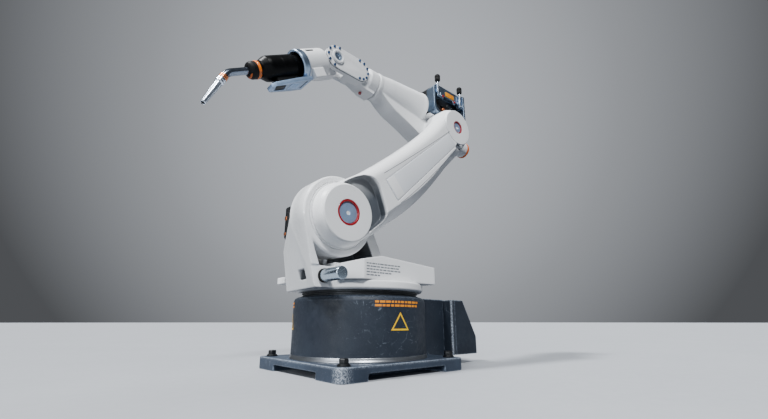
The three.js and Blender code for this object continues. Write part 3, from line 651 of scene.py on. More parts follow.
def build_rear_panel():
    """The sloping panel on the rear box, with its power and signal sockets."""
    cover = prism(rounded(132, 226, 8), "Z", 0.6, 7)
    solid("rear_panel", [cover], PANEL, IRON, "base", ["rear_cover"], 1.2)
    screws = [shifted(lathe([(5, 7.1), (5, 9.6), (3.6, 10.8)], steps=6, soft=0), x, y, 0)
              for x in (-57, 57) for y in (-104, 0, 104)]
    solid("rear_panel_screws", screws, PANEL, DEEP_STEEL, "base", bevel=0.4)
    socket = lathe([(30, 7.4), (30, 14), (25, 17), (25, 21)], soft=1)
    nut = lathe([(26, 20), (26, 38), (22, 43), (15, 43), (14, 36)],
                steps=120, soft=1, lobes=24, depth=1.2)
    solid("power_socket", [shifted(part, 8, 50, 0) for part in (socket, nut)],
          PANEL, BLACK, "base", ["power_connector"])
    shell = prism(rounded(46, 84, 5, 8, -48), "Z", 7.4, 30)
    insert = prism(rounded(38, 76, 4, 8, -48), "Z", 29, 36)
    latches = [block(3, 13, y, y + 4, 10, 30) for y in (-94, -6)]
    solid("signal_socket", [shell, insert, *latches], PANEL, BLUE_STEEL, "base", ["signal_connector"],
          1.5)


def on_column(azimuth, x, z):
    """A point of the column's print. x runs round the column from an azimuth in degrees."""
    angle = math.radians(azimuth) + x / PRINT_RADIUS
    return (PRINT_RADIUS * math.cos(angle), PRINT_RADIUS * math.sin(angle), z)


def wrapped(x0, x1, z0, z1, azimuth):
    """A printed patch on the column."""
    steps = max(int((x1 - x0) / 3), 1)
    points, faces = [], []
    for k in range(steps + 1):
        points += [on_column(azimuth, x0 + (x1 - x0) * k / steps, z) for z in (z0, z1)]
    for k in range(steps):
        faces.append([2 * k, 2 * k + 2, 2 * k + 3, 2 * k + 1])
    return points, faces


def build_prints():
    """Rows of plain bars and two plain triangles printed on the column."""
    pick = random.Random(7)
    marks = []
    for start, span in ((64, 165), (-27, 34)):
        for low, high in ((201.5, 207.5), (191, 197)):
            x = 0.0
            while x < span - 5:
                width = pick.uniform(7, 22)
                marks.append(wrapped(x, min(x + width, span), low, high, start))
                x += width + pick.uniform(2.5, 4)
    solid("column_print", marks, WORLD, PRINT_ORANGE, "base")
    triangles = [triangle_mark(azimuth) for azimuth in (85.4, -25)]
    solid("column_mark", triangles, WORLD, PRINT_YELLOW, "base")


def triangle_mark(azimuth):
    """A plain triangle outline printed on the column."""
    outer = [(0.0, 176.0), (-33.0, 124.0), (33.0, 124.0)]
    inner = [(0.0, 167.0), (-25.5, 128.5), (25.5, 128.5)]
    steps = 16
    points, faces = [], []
    for i in range(3):
        base = len(points)
        for k in range(steps + 1):
            for line in (outer, inner):
                spot = Vector(line[i]).lerp(Vector(line[(i + 1) % 3]), k / steps)
                points.append(on_column(azimuth, spot.x, spot.y))
        faces += [[base + 2 * k, base + 2 * k + 1, base + 2 * k + 3, base + 2 * k + 2]
                  for k in range(steps)]
    return points, faces


# ---- Turret ----

BOSS_RADIUS = 128
SLEW_MOTOR_AT = (-62, -128, 0)
PIN_AT = (218, 0, 277)


def boss_point(degrees, y):
    angle = math.radians(degrees)
    return (SHOULDER_X + BOSS_RADIUS * math.cos(angle), y, SHOULDER_Z + BOSS_RADIUS * math.sin(angle))


def build_turret():
    """All that turns with the column's top: ring, deck, pillar, motors, side bracket and handling pin."""
    ring = lathe([(208, 240), (214, 246), (214, 264), (210, 268)], steps=180, soft=3)
    solid("turntable", [ring], WORLD, WHITE, "turret", ["turntable_ring"], angle=50)
    side = [(-178, 268.4), (180, 268.4), (180, 314), (130, 327.5), (60, 342), (-178, 326)]
    plan = [(-178, -188), (130, -188), (180, -138), (180, 138), (130, 188), (-178, 188)]
    deck = to_object(prism(side, "Y", -190, 190), WORLD)
    carve(deck, [prism(plan, "Z", 200, 400)], WORLD, "INTERSECT")
    carve(deck, [block(-160, 300, -300, 46, 200, 400), block(149.6, 300, 40, 110.4, 200, 400)], WORLD)
    cast("deck_cover", [deck], 2.2, 2, WHITE, "turret", ["turret_deck"])
    build_pillar()
    eye = shifted(cylinder(5, 200, 300, steps=24), 196, -184, 0)
    arm = less(block(80, 212, -200, -146, 273, 295), [eye], WORLD)
    foot = to_object(block(80, 150, -160, -146, 268.4, 274), WORLD)
    cast("side_ear", [arm, foot], 1.6, 3, WHITE, "turret", ["side_bracket"])
    base = lathe([(43, 268.4), (43, 280), (38, 284), (38, 300)], soft=1)
    fins = lathe([(39, 298), (39, 396), (31, 410)], steps=120, soft=1.5, lobes=30, depth=1.6)
    socket = shifted(prism(rounded(30, 24, 4), "Z", 330, 372), -8, -34, 0)
    motor = [shifted(part, *SLEW_MOTOR_AT) for part in (base, fins, socket)]
    solid("slew_drive", motor, WORLD, BLACK, "turret", ["slew_motor"])
    pin = lathe([(19, 121), (19, 203), (17.6, 205)], "Y", soft=0.8)
    solid("pin_bar", [shifted(pin, *PIN_AT)], WORLD, PIN_STEEL, "turret", ["handling_pin"])
    collar = lathe([(20.5, 110.4), (20.5, 115), (19.6, 116), (20.5, 117), (20.5, 120.6)], "Y", 80, 0.6)
    solid("pin_gasket", [shifted(collar, *PIN_AT)], WORLD, RUBBER, "turret", ["pin_collar"])
    flange = lathe([(107.4, 112), (107.4, 116), (105.5, 118)], "Y", 140, 0.6)
    solid("shoulder_race", [flange], SHOULDER_AT, WHITE, "turret", ["shoulder_flange"])
    build_shoulder_motor()
    build_deck_print()


def build_deck_print():
    """Rows of plain bars on the deck's left side, each row from x 121 back to its own end."""
    pick = random.Random(3)
    marks = []
    for z, end in ((315.5, -14), (307, -8), (298.5, -14), (290, 20), (281.5, 64)):
        x = 121.0
        while x > end + 6:
            width = pick.uniform(5, 14)
            marks.append(block(max(x - width, end), x, 188.05, 188.4, z - 2.2, z + 1.6))
            x -= width + pick.uniform(2, 3.5)
    solid("deck_print", marks, WORLD, PRINT_GREY, "turret")


def build_pillar():
    """The shoulder pillar: a front and a rear web that lean together round the boss, hollowed on the
    left side either side of a rib."""
    low = 243
    angles = range(-6, -86, -8)
    front_points = [(150, -122, low), (212, -125, low), (246, 110, low), (150, 110, low), (150, 110, 306),
                    (246, 110, 306), (250, -94, 370), (150, -110, 372)]
    front_points += [boss_point(a, y) for a in angles for y in (30, 117.6)]
    rear_points = [(-152, -120, low), (-15, -110, 540), (60, -110, 575), (205, -110, 545),
                   (205, -120, low), (-152, 15, low), (-15, 0, 540), (-125, 45, low), (12, 30, 540),
                   (60, 30, 570), (200, 30, 545), (205, 45, low)]
    pocket = hull([(181, -62, 306), (226, -62, 306), (240, -62, 400), (181, -62, 400), (181, 140, 306),
                   (238, 140, 306), (276, 140, 400), (181, 140, 400)])
    rear_pocket = prism([(-44, 318), (166, 318), (166, 430), (8, 430)], "Y", -62, 140)
    cuts = [pocket, rear_pocket, block(165, 182, 45, 140, 320, 420), block(-180, 300, 110, 200, 200, 306),
            block(-180, 180.4, 110, 200, 200, 325), cylinder(214.8, 200, 268.5, steps=140),
            shifted(cylinder(48, 200, 700, steps=48), *SLEW_MOTOR_AT), block(215, 262, 15, 63, 269, 299),
            shifted(cylinder(BOSS_RADIUS - 4, 111.6, 200, "Y", 120), SHOULDER_X, 0, SHOULDER_Z)]
    bodies = [less(hull(front_points), cuts, WORLD), less(hull(rear_points), cuts, WORLD),
              less(block(112, 220, -120, 0, 417, 539), cuts, WORLD)]
    boss = lathe([(125, 30), (BOSS_RADIUS, 33), (BOSS_RADIUS, 112.6), (123, 117.6), (108.4, 117.6),
                  (108.4, 111.6)], "Y", 180, 0)
    bodies.append(to_object(boss, SHOULDER_AT))
    made = cast("shoulder_casting", bodies, 2.2, 2, WHITE, "turret", ["shoulder_pillar"])
    # Painted shade in the pillar's slot and hollows.
    paint_mask(made, "shade", pillar_shade)


def pillar_shade(x, y, z):
    """Painted shade: dark inside the slot and in the two hollows either side of the rib."""
    if 13 < y < 65 and 267 < z < 301 and 212 < x < 244:
        return min((245 - x) / 10, 1) * 0.9
    in_boss = y > 28 and math.hypot(x - SHOULDER_X, z - SHOULDER_Z) < BOSS_RADIUS + 1.5
    if not 304 < z < 440 or y > 106 or in_boss:
        return 0.0
    across = clamp((y + 62) / 202)
    front_wall = 226 + 12 * across + (14 + 24 * across) * (z - 306) / 94
    in_front = 182.5 < x < front_wall + 2
    in_rear = z > 316 and -46 + (z - 318) * 0.46 < x < 165
    return 0.9 * min((106 - y) / 22, 1) if in_front or in_rear else 0.0


def build_shoulder_motor():
    flange = prism(rounded(118, 118, 10, 0, 14), "Y", -136, -120.4)
    can = lathe([(36, -218), (42, -212), (42, -130)], "Y", 120, 1.5, lobes=36, depth=1.2)
    socket = prism(rounded(34, 44, 5, -22, -168), "Z", -40, 46)
    solid("shoulder_drive", [flange, shifted(can, -24, 0, 20), socket],
          SHOULDER_AT, BLACK, "turret", ["shoulder_motor"], 1.2)
    lugs = [block(58, 62, -134, -123, z, z + tall) for z, tall in ((23, 13), (-31, 10))]
    lugs += [shifted(lathe([(4, -138.6), (4.6, -137.6), (4.6, -135)], "Y", 24, 0.3), x, 0, z)
             for x in (-50, 50) for z in (-36, 64)]
    solid("shoulder_drive_lugs", lugs, SHOULDER_AT, COPPER, "turret", bevel=0.6)


# ---- Lower arm ----


def link_outline():
    """Points (local x, local z) round the link, from the shoulder's rear, counter-clockwise."""
    out = arc(0, 0, 100, 180, 360, 40)
    out += curve([(100, 0), (88, 70), (78, 120), (73, 170)], 12)
    out += curve([(73, 170), (60, 330), (57, 500), (66, 600)], 24)
    out += curve([(66, 600), (74, 670), (91, LINK_LENGTH)], 10)
    out += arc(0, LINK_LENGTH, 91, 0, 167.4, 34)[1:]
    end = out[-1]
    out += curve([end, (-102, 690), (-118, 600), (-129, 500)], 16)
    out += curve([(-129, 500), (-143, 380), (-143, 290), (-131, 190)], 22)
    out += curve([(-131, 190), (-118, 80), (-100, 0)], 12)[:-1]
    return out


POCKET = [(-96, -8), (92, -8), (87, 18), (80, 83), (75, 112), (65, 140), (51, 156), (34, 165.5),
          (14, 168.5), (-3, 165.5), (-64, 143.5), (-85, 133), (-93, 120), (-94, 90), (-92, 59)]
FACE = 165
ROUND = 40
CHAMFER, CHAMFER_INSET = 62, 46


def link_body():
    """The link's outer skin: a round upper edge and a flat chamfer along the lower one."""
    outline = [Vector(p) for p in link_outline()]
    count = len(outline)
    normals, lower = [], []
    for i in range(count):
        ahead = (outline[(i + 1) % count] - outline[i - 1]).normalized()
        normals.append(Vector((-ahead.y, ahead.x)))
        along = clamp((outline[i].y - 60) / 120) * clamp((700 - outline[i].y) / 100)
        lower.append(along if outline[i].x < 0 else 0.0)
    steps = 8
    points, faces = [], []
    levels = [(-60.0, None)] + [(None, k / steps) for k in range(steps + 1)]
    for height, t in levels:
        for p, n, flat in zip(outline, normals, lower):
            if t is None:
                points.append((p.x, height, p.y))
                continue
            angle = t * math.pi / 2
            inset = ROUND * (1 - math.cos(angle)) * (1 - flat) + CHAMFER_INSET * t * flat
            round_y = FACE - ROUND + ROUND * math.sin(angle)
            y = round_y * (1 - flat) + (FACE - CHAMFER + CHAMFER * t) * flat
            q = p + n * inset
            points.append((q.x, y, q.y))
    for level in range(len(levels) - 1):
        for k in range(count):
            n = (k + 1) % count
            a, b = level * count, (level + 1) * count
            faces.append([a + k, a + n, b + n, b + k])
    faces.append(list(range(count)))
    faces.append([len(points) - count + k for k in range(count)])
    return points, faces


def ribbon(line, width):
    """A thin closed outline that follows a line of (x, z) points."""
    left, right = [], []
    points = [Vector(p) for p in line]
    for i, p in enumerate(points):
        ahead = (points[min(i + 1, len(points) - 1)] - points[max(i - 1, 0)]).normalized()
        side = Vector((-ahead.y, ahead.x)) * width / 2
        left.append((p.x + side.x, p.y + side.y))
        right.append((p.x - side.x, p.y - side.y))
    return left + right[::-1]


HUB_FACE = [(86, 158), (90, 161), (90, 162.4), (87.6, 164.6), (86, FACE), (41.8, FACE), (41.4, 164.4),
            (41.4, 150)]
ELBOW_FACE = [(76.4, 158), (76.4, 164), (75, FACE), (28.8, FACE), (28.4, 164.4), (28.4, 150)]


def build_lower_arm():
    """The long link, its two round faces, seals and discs, and the cover between them."""
    near_hub = cylinder(140, -90, 118.4, "Y")
    beyond = block(-200, 200, -90, 98, -200, 1000)
    panel = prism([(11, 203), (5, 660), (-57, 660), (-74, 203)], "Y", FACE - 3, 200)
    notch = prism([(-97, 700), (-46, 694), (-60, 652)], "Y", FACE - 26, 200)
    at_elbow = (0, 0, LINK_LENGTH)
    spigot = shifted(cylinder(60, 0, 86, "Y", 60), *at_elbow)
    recess = cylinder(41.4, 150, 200, "Y", 80)
    small_recess = shifted(cylinder(28.4, 150, 200, "Y", 64), *at_elbow)
    seat = shifted(cylinder(78.6, 158, 200, "Y", 140), *at_elbow)
    hub_seat = cylinder(93, 157, 200, "Y", 140)
    cuts = [beyond, near_hub, prism(POCKET, "Y", 128, 220), panel, notch, recess, small_recess, spigot,
            seat, hub_seat]
    skin = less(link_body(), cuts, LINK)
    hub = less(lathe([(102, 118.4), (102, 128), (98, 146), (91, 160)], "Y", 160, 2), [recess], LINK)
    elbow = shifted(lathe([(87, 62), (91, 66), (91, 118), (85, 128), (76, 134), (76, 159)], "Y", 140, 1),
                    *at_elbow)
    elbow = less(elbow, [small_recess, spigot, notch], LINK)
    made = cast("link_casting", [skin, hub, elbow], 1.9, 3, LINK_PAINT, "lower_arm", ["lower_arm_shell"])
    # Painted shade in the pocket beside the shoulder disc.
    paint_mask(made, "shade", pocket_shade, LINK.inverted())
    faces = [lathe(HUB_FACE, "Y", 160, 0.8), shifted(lathe(ELBOW_FACE, "Y", 140, 0.6), *at_elbow)]
    solid("link_discs", faces, LINK, WHITE, "lower_arm", angle=40)
    cover = prism([(8.6, 206), (3, 657), (-55, 657), (-71.5, 206)], "Y", FACE - 2.6, FACE + 1)
    solid("link_panel", [cover], LINK, COVER, "lower_arm", ["lower_arm_cover"], 1.0)
    # Painted shade: thin dark strips for the shade in the panel's grooves, and a dark sheet in the notch.
    upper_line = curve([(34, 190), (24, 330), (13, 500), (9, 668)], 20)
    lower_line = curve([(-84, 190), (-93, 330), (-82, 520), (-66, 660)], 20)
    seam_shadows = [prism(ribbon(line, 1.7), "Y", FACE - 2, FACE + 0.25) for line in (upper_line, lower_line)]
    gap = prism([(-88, 702), (-49, 697), (-61, 660)], "Y", FACE - 25, FACE - 8)
    solid("link_seam_shadows", seam_shadows + [gap], LINK, SHADE, "lower_arm")
    patch = prism([(7, 208), (5.5, 248), (-68, 248), (-69.8, 208)], "Y", FACE + 0.8, FACE + 1.5)
    solid("link_patch", [patch], LINK, PATCH, "lower_arm", bevel=0.3)
    for name, radius, along in (("shoulder", 41, 0), ("elbow", 28, LINK_LENGTH)):
        inner = radius * 0.82
        ring = lathe([(inner + 0.4, 150.4), (radius, 150.4), (radius, 163.4), (radius - 1.5, 164.6),
                      (inner + 1.6, 164.6), (inner + 0.4, 162)], "Y", soft=0.5, closed=True)
        solid(f"{name}_seal", [shifted(ring, 0, 0, along)], LINK, CRIMSON, "lower_arm", [f"{name}_ring"])
        cap = lathe([(inner, 150.4), (inner, 158), (inner - 1.5, 160), (8, 160), (6.5, 159), (5.5, 154)],
                    "Y", soft=0.6)
        solid(f"{name}_disc", [shifted(cap, 0, 0, along)], LINK, PALE_STEEL, "lower_arm", [f"{name}_cap"])
        dimple = lathe([(5.2, 152), (5.2, 155.2), (3, 155.8), (0, 155.2)], "Y", 24, 0.3)
        solid(f"{name}_dimple", [shifted(dimple, 0, 0, along)], LINK, BLACK, "lower_arm")


def inside(x, z, outline):
    """Whether a point is inside an outline."""
    hit = False
    for (x0, z0), (x1, z1) in zip(outline, outline[1:] + outline[:1]):
        if (z0 > z) != (z1 > z) and x < (x1 - x0) * (z - z0) / (z1 - z0) + x0:
            hit = not hit
    return hit


def pocket_shade(x, y, z):
    """Painted shade inside the pocket beside the shoulder disc: darker low down and deep in."""
    if math.hypot(x, z) < 103.5 or z < 0 or not inside(x * 0.985, z * 0.985, POCKET):
        return 0.0
    return clamp((159 - y) / 9) * (0.60 + 0.40 * clamp((70 - x) / 90))


# ---- Upper arm and wire feeder ----


SHELF_Z = 69
MOTOR_AT = (0, 0, 36)


def build_forearm():
    """The upper arm: a tapered tube on a keel, the elbow's boss, the roll motor and the shelf."""
    tube = lathe([(77, 89), (80, 94), (80, 103), (77, 111), (75, 135), (63, 284), (55.5, 334)],
                 "X", 140, 2)
    side = [(330, 100), (326, 76)] + curve([(326, 76), (292, 46), (252, 28)], 8) + [(170, 0), (60, -45)]
    side += curve([(60, -45), (36, -62), (20, -79)], 6)
    side += arc(0, 0, 82, -76.2, -200.5, 24)[1:] + [(-43, SHELF_Z - 0.4), (89, SHELF_Z - 0.4), (95, 100)]
    keel = prism(side, "Y", -42, 42)
    boss = lathe([(78, -58), (82, -54), (82, 57), (78, 61.4)], "Y", 140, 1)
    clear = block(-200, 88.6, -100, 100, SHELF_Z - 0.4, 300)
    parts = [less(shifted(tube, 0, 0, ROLL_Z), [clear], FOREARM), less(keel, [clear], FOREARM),
             less(boss, [clear], FOREARM)]
    cast("forearm_casting", parts, 2.2, 5, WHITE, "upper_arm", ["forearm_housing"])
    front = lathe([(40, 330), (56, 330), (58, 333), (58, 344.5), (55.5, 348.8), (40, 348.8)],
                  "X", 120, 2, True)
    rear = lathe([(60, 89.2), (76, 89.2), (79.5, 93), (79.5, 101), (76, 105), (60, 105)],
                 "X", 140, 1.5, True)
    rear = less(shifted(rear, 0, 0, ROLL_Z), [block(80, 120, -100, 100, 0, 75.4)], FOREARM)
    crisp("forearm_rims", [to_object(shifted(front, 0, 0, ROLL_Z), FOREARM), rear], WHITE, "upper_arm")
    spigot = lathe([(52, 61.8), (52, 84), (48, 85.4)], "Y", 80, 1)
    solid("elbow_bearing", [spigot], FOREARM, SOOT, "upper_arm", ["elbow_spigot"])
    can = shifted(lathe([(35, -238), (37, -235), (37, -40)], "X", 120, 1), *MOTOR_AT)
    housing = less(can, [cylinder(82.6, -90, 90, "Y"), block(-168, 60, -100, 100, SHELF_Z - 0.4, 300)],
                   FOREARM)
    cast("roll_motor_casting", [housing], 2.0, 3, WHITE, "upper_arm", ["roll_motor_housing"])
    cap = lathe([(38.5, -238.4), (38.5, -247), (31, -254), (12, -255)], "X", soft=2)
    solid("roll_motor_cap", [shifted(cap, *MOTOR_AT)], FOREARM, BURNT, "upper_arm", ["motor_end_cap"])
    shelf = less(prism(rounded(236, 160, 10, -32, 0), "Z", SHELF_Z, SHELF_Z + 6),
                 [shifted(cylinder(83.2, 88, 300, "X"), 0, 0, ROLL_Z), cylinder(92.6, 61.6, 120, "Y"),
                  block(88, 300, -43, 43, 0, 100)], FOREARM)
    cast("feeder_tray", [shelf], 1.8, 2, WHITE, "upper_arm", ["feeder_shelf"])


LEVERS = (1, -160)
LEVER_Y = 64
PIVOT = 214
LABEL_SCREWS = (-42, -125)


def build_feeder():
    """The wire feeder: a black case with a blue steel frame that holds its rolls, levers and label."""
    body = prism([(34, 79.4), (34, 240), (12, 262), (-172, 262), (-172, 98), (-150, 68.5)],
                 "Y", -112, 25.6)
    grooves = [block(-150 + 18 * k, -144 + 18 * k, -113, 26, 260.5, 270) for k in range(9)]
    vents = [block(33, 36, -96, 10, 110 + 14 * k, 116 + 14 * k) for k in range(9)]
    case = less(body, grooves + vents, FEEDER)
    crisp("feeder_shell", [case], BLACK, "upper_arm", ["feeder_case"], 2.5)
    outline = [(-187, 109), (-4, 109)] + curve([(-4, 109), (38, 109), (38, 151)], 10)
    outline += [(38, 235), (2, 271), (-179, 271), (-187, 263)]
    corner = [(-175, 121), (-4, 121), (20, 135), (26, 155)]
    windows = [prism(corner + [(26, top), (-175, top)], "Y", near, 100)
               for top, near in ((226, 34), (280, 56))]
    parts = [less(prism(outline, "Y", 26, 72), windows, FEEDER)]
    for x in LABEL_SCREWS:
        tab = [(x - 9, 250), (x - 9, 216), (x - 5, 210), (x + 5, 210), (x + 9, 216), (x + 9, 250)]
        parts.append(to_object(prism(tab, "Y", 49, 56), FEEDER))
    for x in LEVERS:
        for a, b, y, low, high in ((x - 12, x + 12, 72, 196, 206), (x - 12, x - 8.4, 72, 200, 224),
                                   (x + 8.4, x + 12, 72, 200, 224), (x - 12, x + 12, 57, 196, 240)):
            parts.append(to_object(block(a, b, 49, y, low, high), FEEDER))
    cast("feeder_bracket", parts, 1.3, 2, BLUE_STEEL, "upper_arm", ["feeder_frame"])
    plate = prism(rounded(60, 23, 3, -91, 242), "Y", 56.4, 58.4)
    solid("feeder_label", [plate], FEEDER, LABEL, "upper_arm", ["feeder_nameplate"], 0.5)
    rows = ((-113, -85, 247), (-113, -77, 241), (-113, -95, 235), (-79, -69, 247), (-89, -69, 235))
    bars = [block(x0, x1, 58.3, 58.8, z, z + 2.2) for x0, x1, z in rows]
    solid("feeder_label_print", bars, FEEDER, BURNT, "upper_arm")
    bolts = [shifted(lathe([(6.2, 56), (6.2, 60.5), (5, 61.6)], "Y", 6, 0), x, 0, 222)
             for x in LABEL_SCREWS]
    solid("feeder_screws", bolts, FEEDER, CRIMSON, "upper_arm", bevel=0.5)
    back = prism([(-174, 122), (-6, 122), (19, 136), (25, 156), (25, 225), (-174, 225)], "Y", 34.2, 35.6)
    arm = prism(rounded(96, 26, 12, -42, 186), "Y", 37, 48)
    wheel = lathe([(12, 36), (12, 49), (9, 51)], "Y", 40, 0.8)
    hubs = [shifted(wheel, x, 0, z) for x, z in ((-88, 186), (4, 186), (-112, 150), (-112, 176))]
    solid("feeder_gearing", [back, arm] + hubs, FEEDER, BLACK, "upper_arm", bevel=0.8)
    hub = lathe([(2.4, 37), (2.4, 51.4), (9, 51.4), (9, 62), (7, 64), (3, 64), (2, 61)], "Y", 36, 0.6)
    solid("feeder_drive_hub", [shifted(hub, -37, 0, 147)], FEEDER, COPPER, "upper_arm")
    for i, x in ((1, -12), (2, -62)):
        roll = lathe([(20, 36), (22, 37), (22, 42), (20, 43), (22, 44), (22, 49), (20, 50), (10, 50),
                      (8, 56)], "Y", soft=0.5, lobes=32, depth=0.7)
        solid(f"drive_roll_{i}", [shifted(roll, x, 0, 150)],
              FEEDER, SOOT, f"feed_roll_{i}", [f"feed_roll_{i}"])
    tube = lathe([(5, -96), (5, -90), (3.6, -88), (3.6, -78), (5, -76), (5, -68)], "X", 32, 0.4)
    solid("wire_guide", [shifted(tube, -34, 44, 176)], FEEDER, COPPER, "upper_arm", ["wire_inlet"])
    for i, x in enumerate(LEVERS, 1):
        build_lever(i, FEEDER @ moved(x, LEVER_Y, PIVOT))


def build_lever(number, at):
    """A clamping lever that swings about its cross pin, with a fluted grip at its top."""
    rod = lathe([(5, 0), (5, 50), (6.6, 51), (6.6, 58), (5, 59), (5, 66)], steps=40, soft=0.5)
    pin = lathe([(6, -8), (6, 8)], "X", 32, 0.6)
    body = f"tension_lever_{number}"
    solid(f"lever_shaft_{number}", [rod, pin], at, CHROME, body, [body])
    skirt = lathe([(9.5, 66.4), (12.4, 69.5), (12.8, 73), (12.8, 83)],
                  steps=120, soft=0.8, lobes=20, depth=0.9)
    disc = lathe([(11.4, 82), (11.4, 85)], steps=60, soft=0.3)
    knob = lathe([(13, 84), (13, 94), (9.5, 100)], steps=120, lobes=20, depth=0.7)
    solid(f"lever_grip_{number}", [skirt, disc, knob], at, RUBBER, body, [f"tension_knob_{number}"])


# ---- Wrist ----

WRIST_REAR = -103


def obround(radius):
    """The long rounded outline of the wrist's side, from the rear pulley to the bend axis."""
    return arc(0, 0, radius, -90, 90, 28) + arc(WRIST_REAR, 0, radius, 90, 270, 28)


def build_wrist():
    """The wrist: a rear barrel, a near fork arm with its screwed cover, and a thinner far one."""
    barrel = lathe([(52, -201.5), (55.5, -198), (55.5, -160), (41, -149.6), (40, -104)], "X", 120, 2)
    belly = prism([(-192, -20), (-192, -62), (-150, -57), (-118, -44), (-100, -37), (-90, -31),
                   (-56, -29), (-50, -10)], "Y", -32, 32)
    cuts = [cylinder(64, -24.4, 24.4, "Y"), block(-5, 100, -24.4, 24.4, -80, 80),
            block(-130, 100, -80, -35, -80, 80), cylinder(30, 36, 80, "Y", 72)]
    shapes = (prism(obround(47), "Y", 4, 42), prism(obround(26), "Y", -35, 8), barrel, belly)
    parts = [less(shape, cuts, WRIST) for shape in shapes]
    cast("wrist_casting", parts, 1.6, 3, WHITE, "wrist", ["wrist_housing"])
    hole = cylinder(28, 0, 100, "Y", 72)
    # Painted shadow: a dark rim a little wider than the cover, for the shadow line between cover and
    # housing.
    shadow_line = less(prism(obround(47.2), "Y", 42.2, 43.6), [hole], WRIST)
    crisp("wrist_cover_shadow_line", [shadow_line], SHADE, "wrist")
    cover = less(prism(obround(46), "Y", 43.4, 48), [hole], WRIST)
    crisp("wrist_side_cover", [cover], WHITE, "wrist", ["wrist_cover"], 1.6)
    far = less(prism(obround(25), "Y", -45, -35.4), [cylinder(17, -100, 100, "Y", 48)], WRIST)
    crisp("wrist_far_cover", [far], COVER, "wrist", ["wrist_belt_cover"], 1.8)
    spots = [arc(0, 0, 41, a, a, 1)[0] for a in (-75, -38, -5, 28, 62, 95)]
    spots += [arc(WRIST_REAR, 0, 39.5, a, a, 1)[0] for a in (84, 116, 148, 180, 212, 240, 268)]
    bolt = lathe([(5, 48), (5, 51.4), (4, 52.6), (1.6, 52.6), (1.4, 51.2)], "Y", 20, 0.3)
    solid("wrist_screws", [shifted(bolt, x, 0, z) for x, z in spots], WRIST, DEEP_STEEL, "wrist")
    boss = lathe([(17.4, 36.6), (27, 36.6), (27.4, 52), (26, 55.4), (24, 56), (19.5, 56), (17.4, 54)],
                 "Y", closed=True)
    solid("bend_bezel", [boss], WRIST, WHITE, "wrist", ["bend_boss"])
    cap = lathe([(17, 36.6), (17, 47), (15, 49), (9, 49), (8, 48)], "Y", 72, 0.6)
    solid("bend_disc", [cap], WRIST, BLUE_STEEL, "wrist", ["bend_cap"])
    plug = lathe([(5.4, -66), (6.5, -65), (6.5, -58.8)], steps=32, soft=0.6)
    solid("grease_plug", [shifted(plug, -144, 0, -1)], WRIST, CRIMSON, "wrist", ["wrist_plug"])


# ---- Tilt housing and tool ----


def build_tilt():
    """The drum that nods between the fork arms."""
    drum = lathe([(51, 52), (56, 57), (56, 142), (54, 144)], "X", 140, 1.5)
    eye = cylinder(37, -23, 23, "Y")
    slot = block(97, 133, 38, 60, 30, 38)
    blocks = [block(0, 62, -23, 23, -36, 36), block(90, 136, 18, 50, -66, -34),
              block(14, 76, -22, 22, -54, -34)]
    parts = [less(drum, [slot], TOOL)] + [to_object(shape, TOOL) for shape in [eye] + blocks]
    cast("tilt_casting", parts, 1.6, 3, WHITE, "tilt", ["tilt_housing"])
    # Painted shade: a black block in the top slot for the shade inside it.
    solid("tilt_slot_shadow", [block(97.6, 132.4, 38.2, 41, 30.6, 37.4)], TOOL, BLACK, "tilt", bevel=0.3)


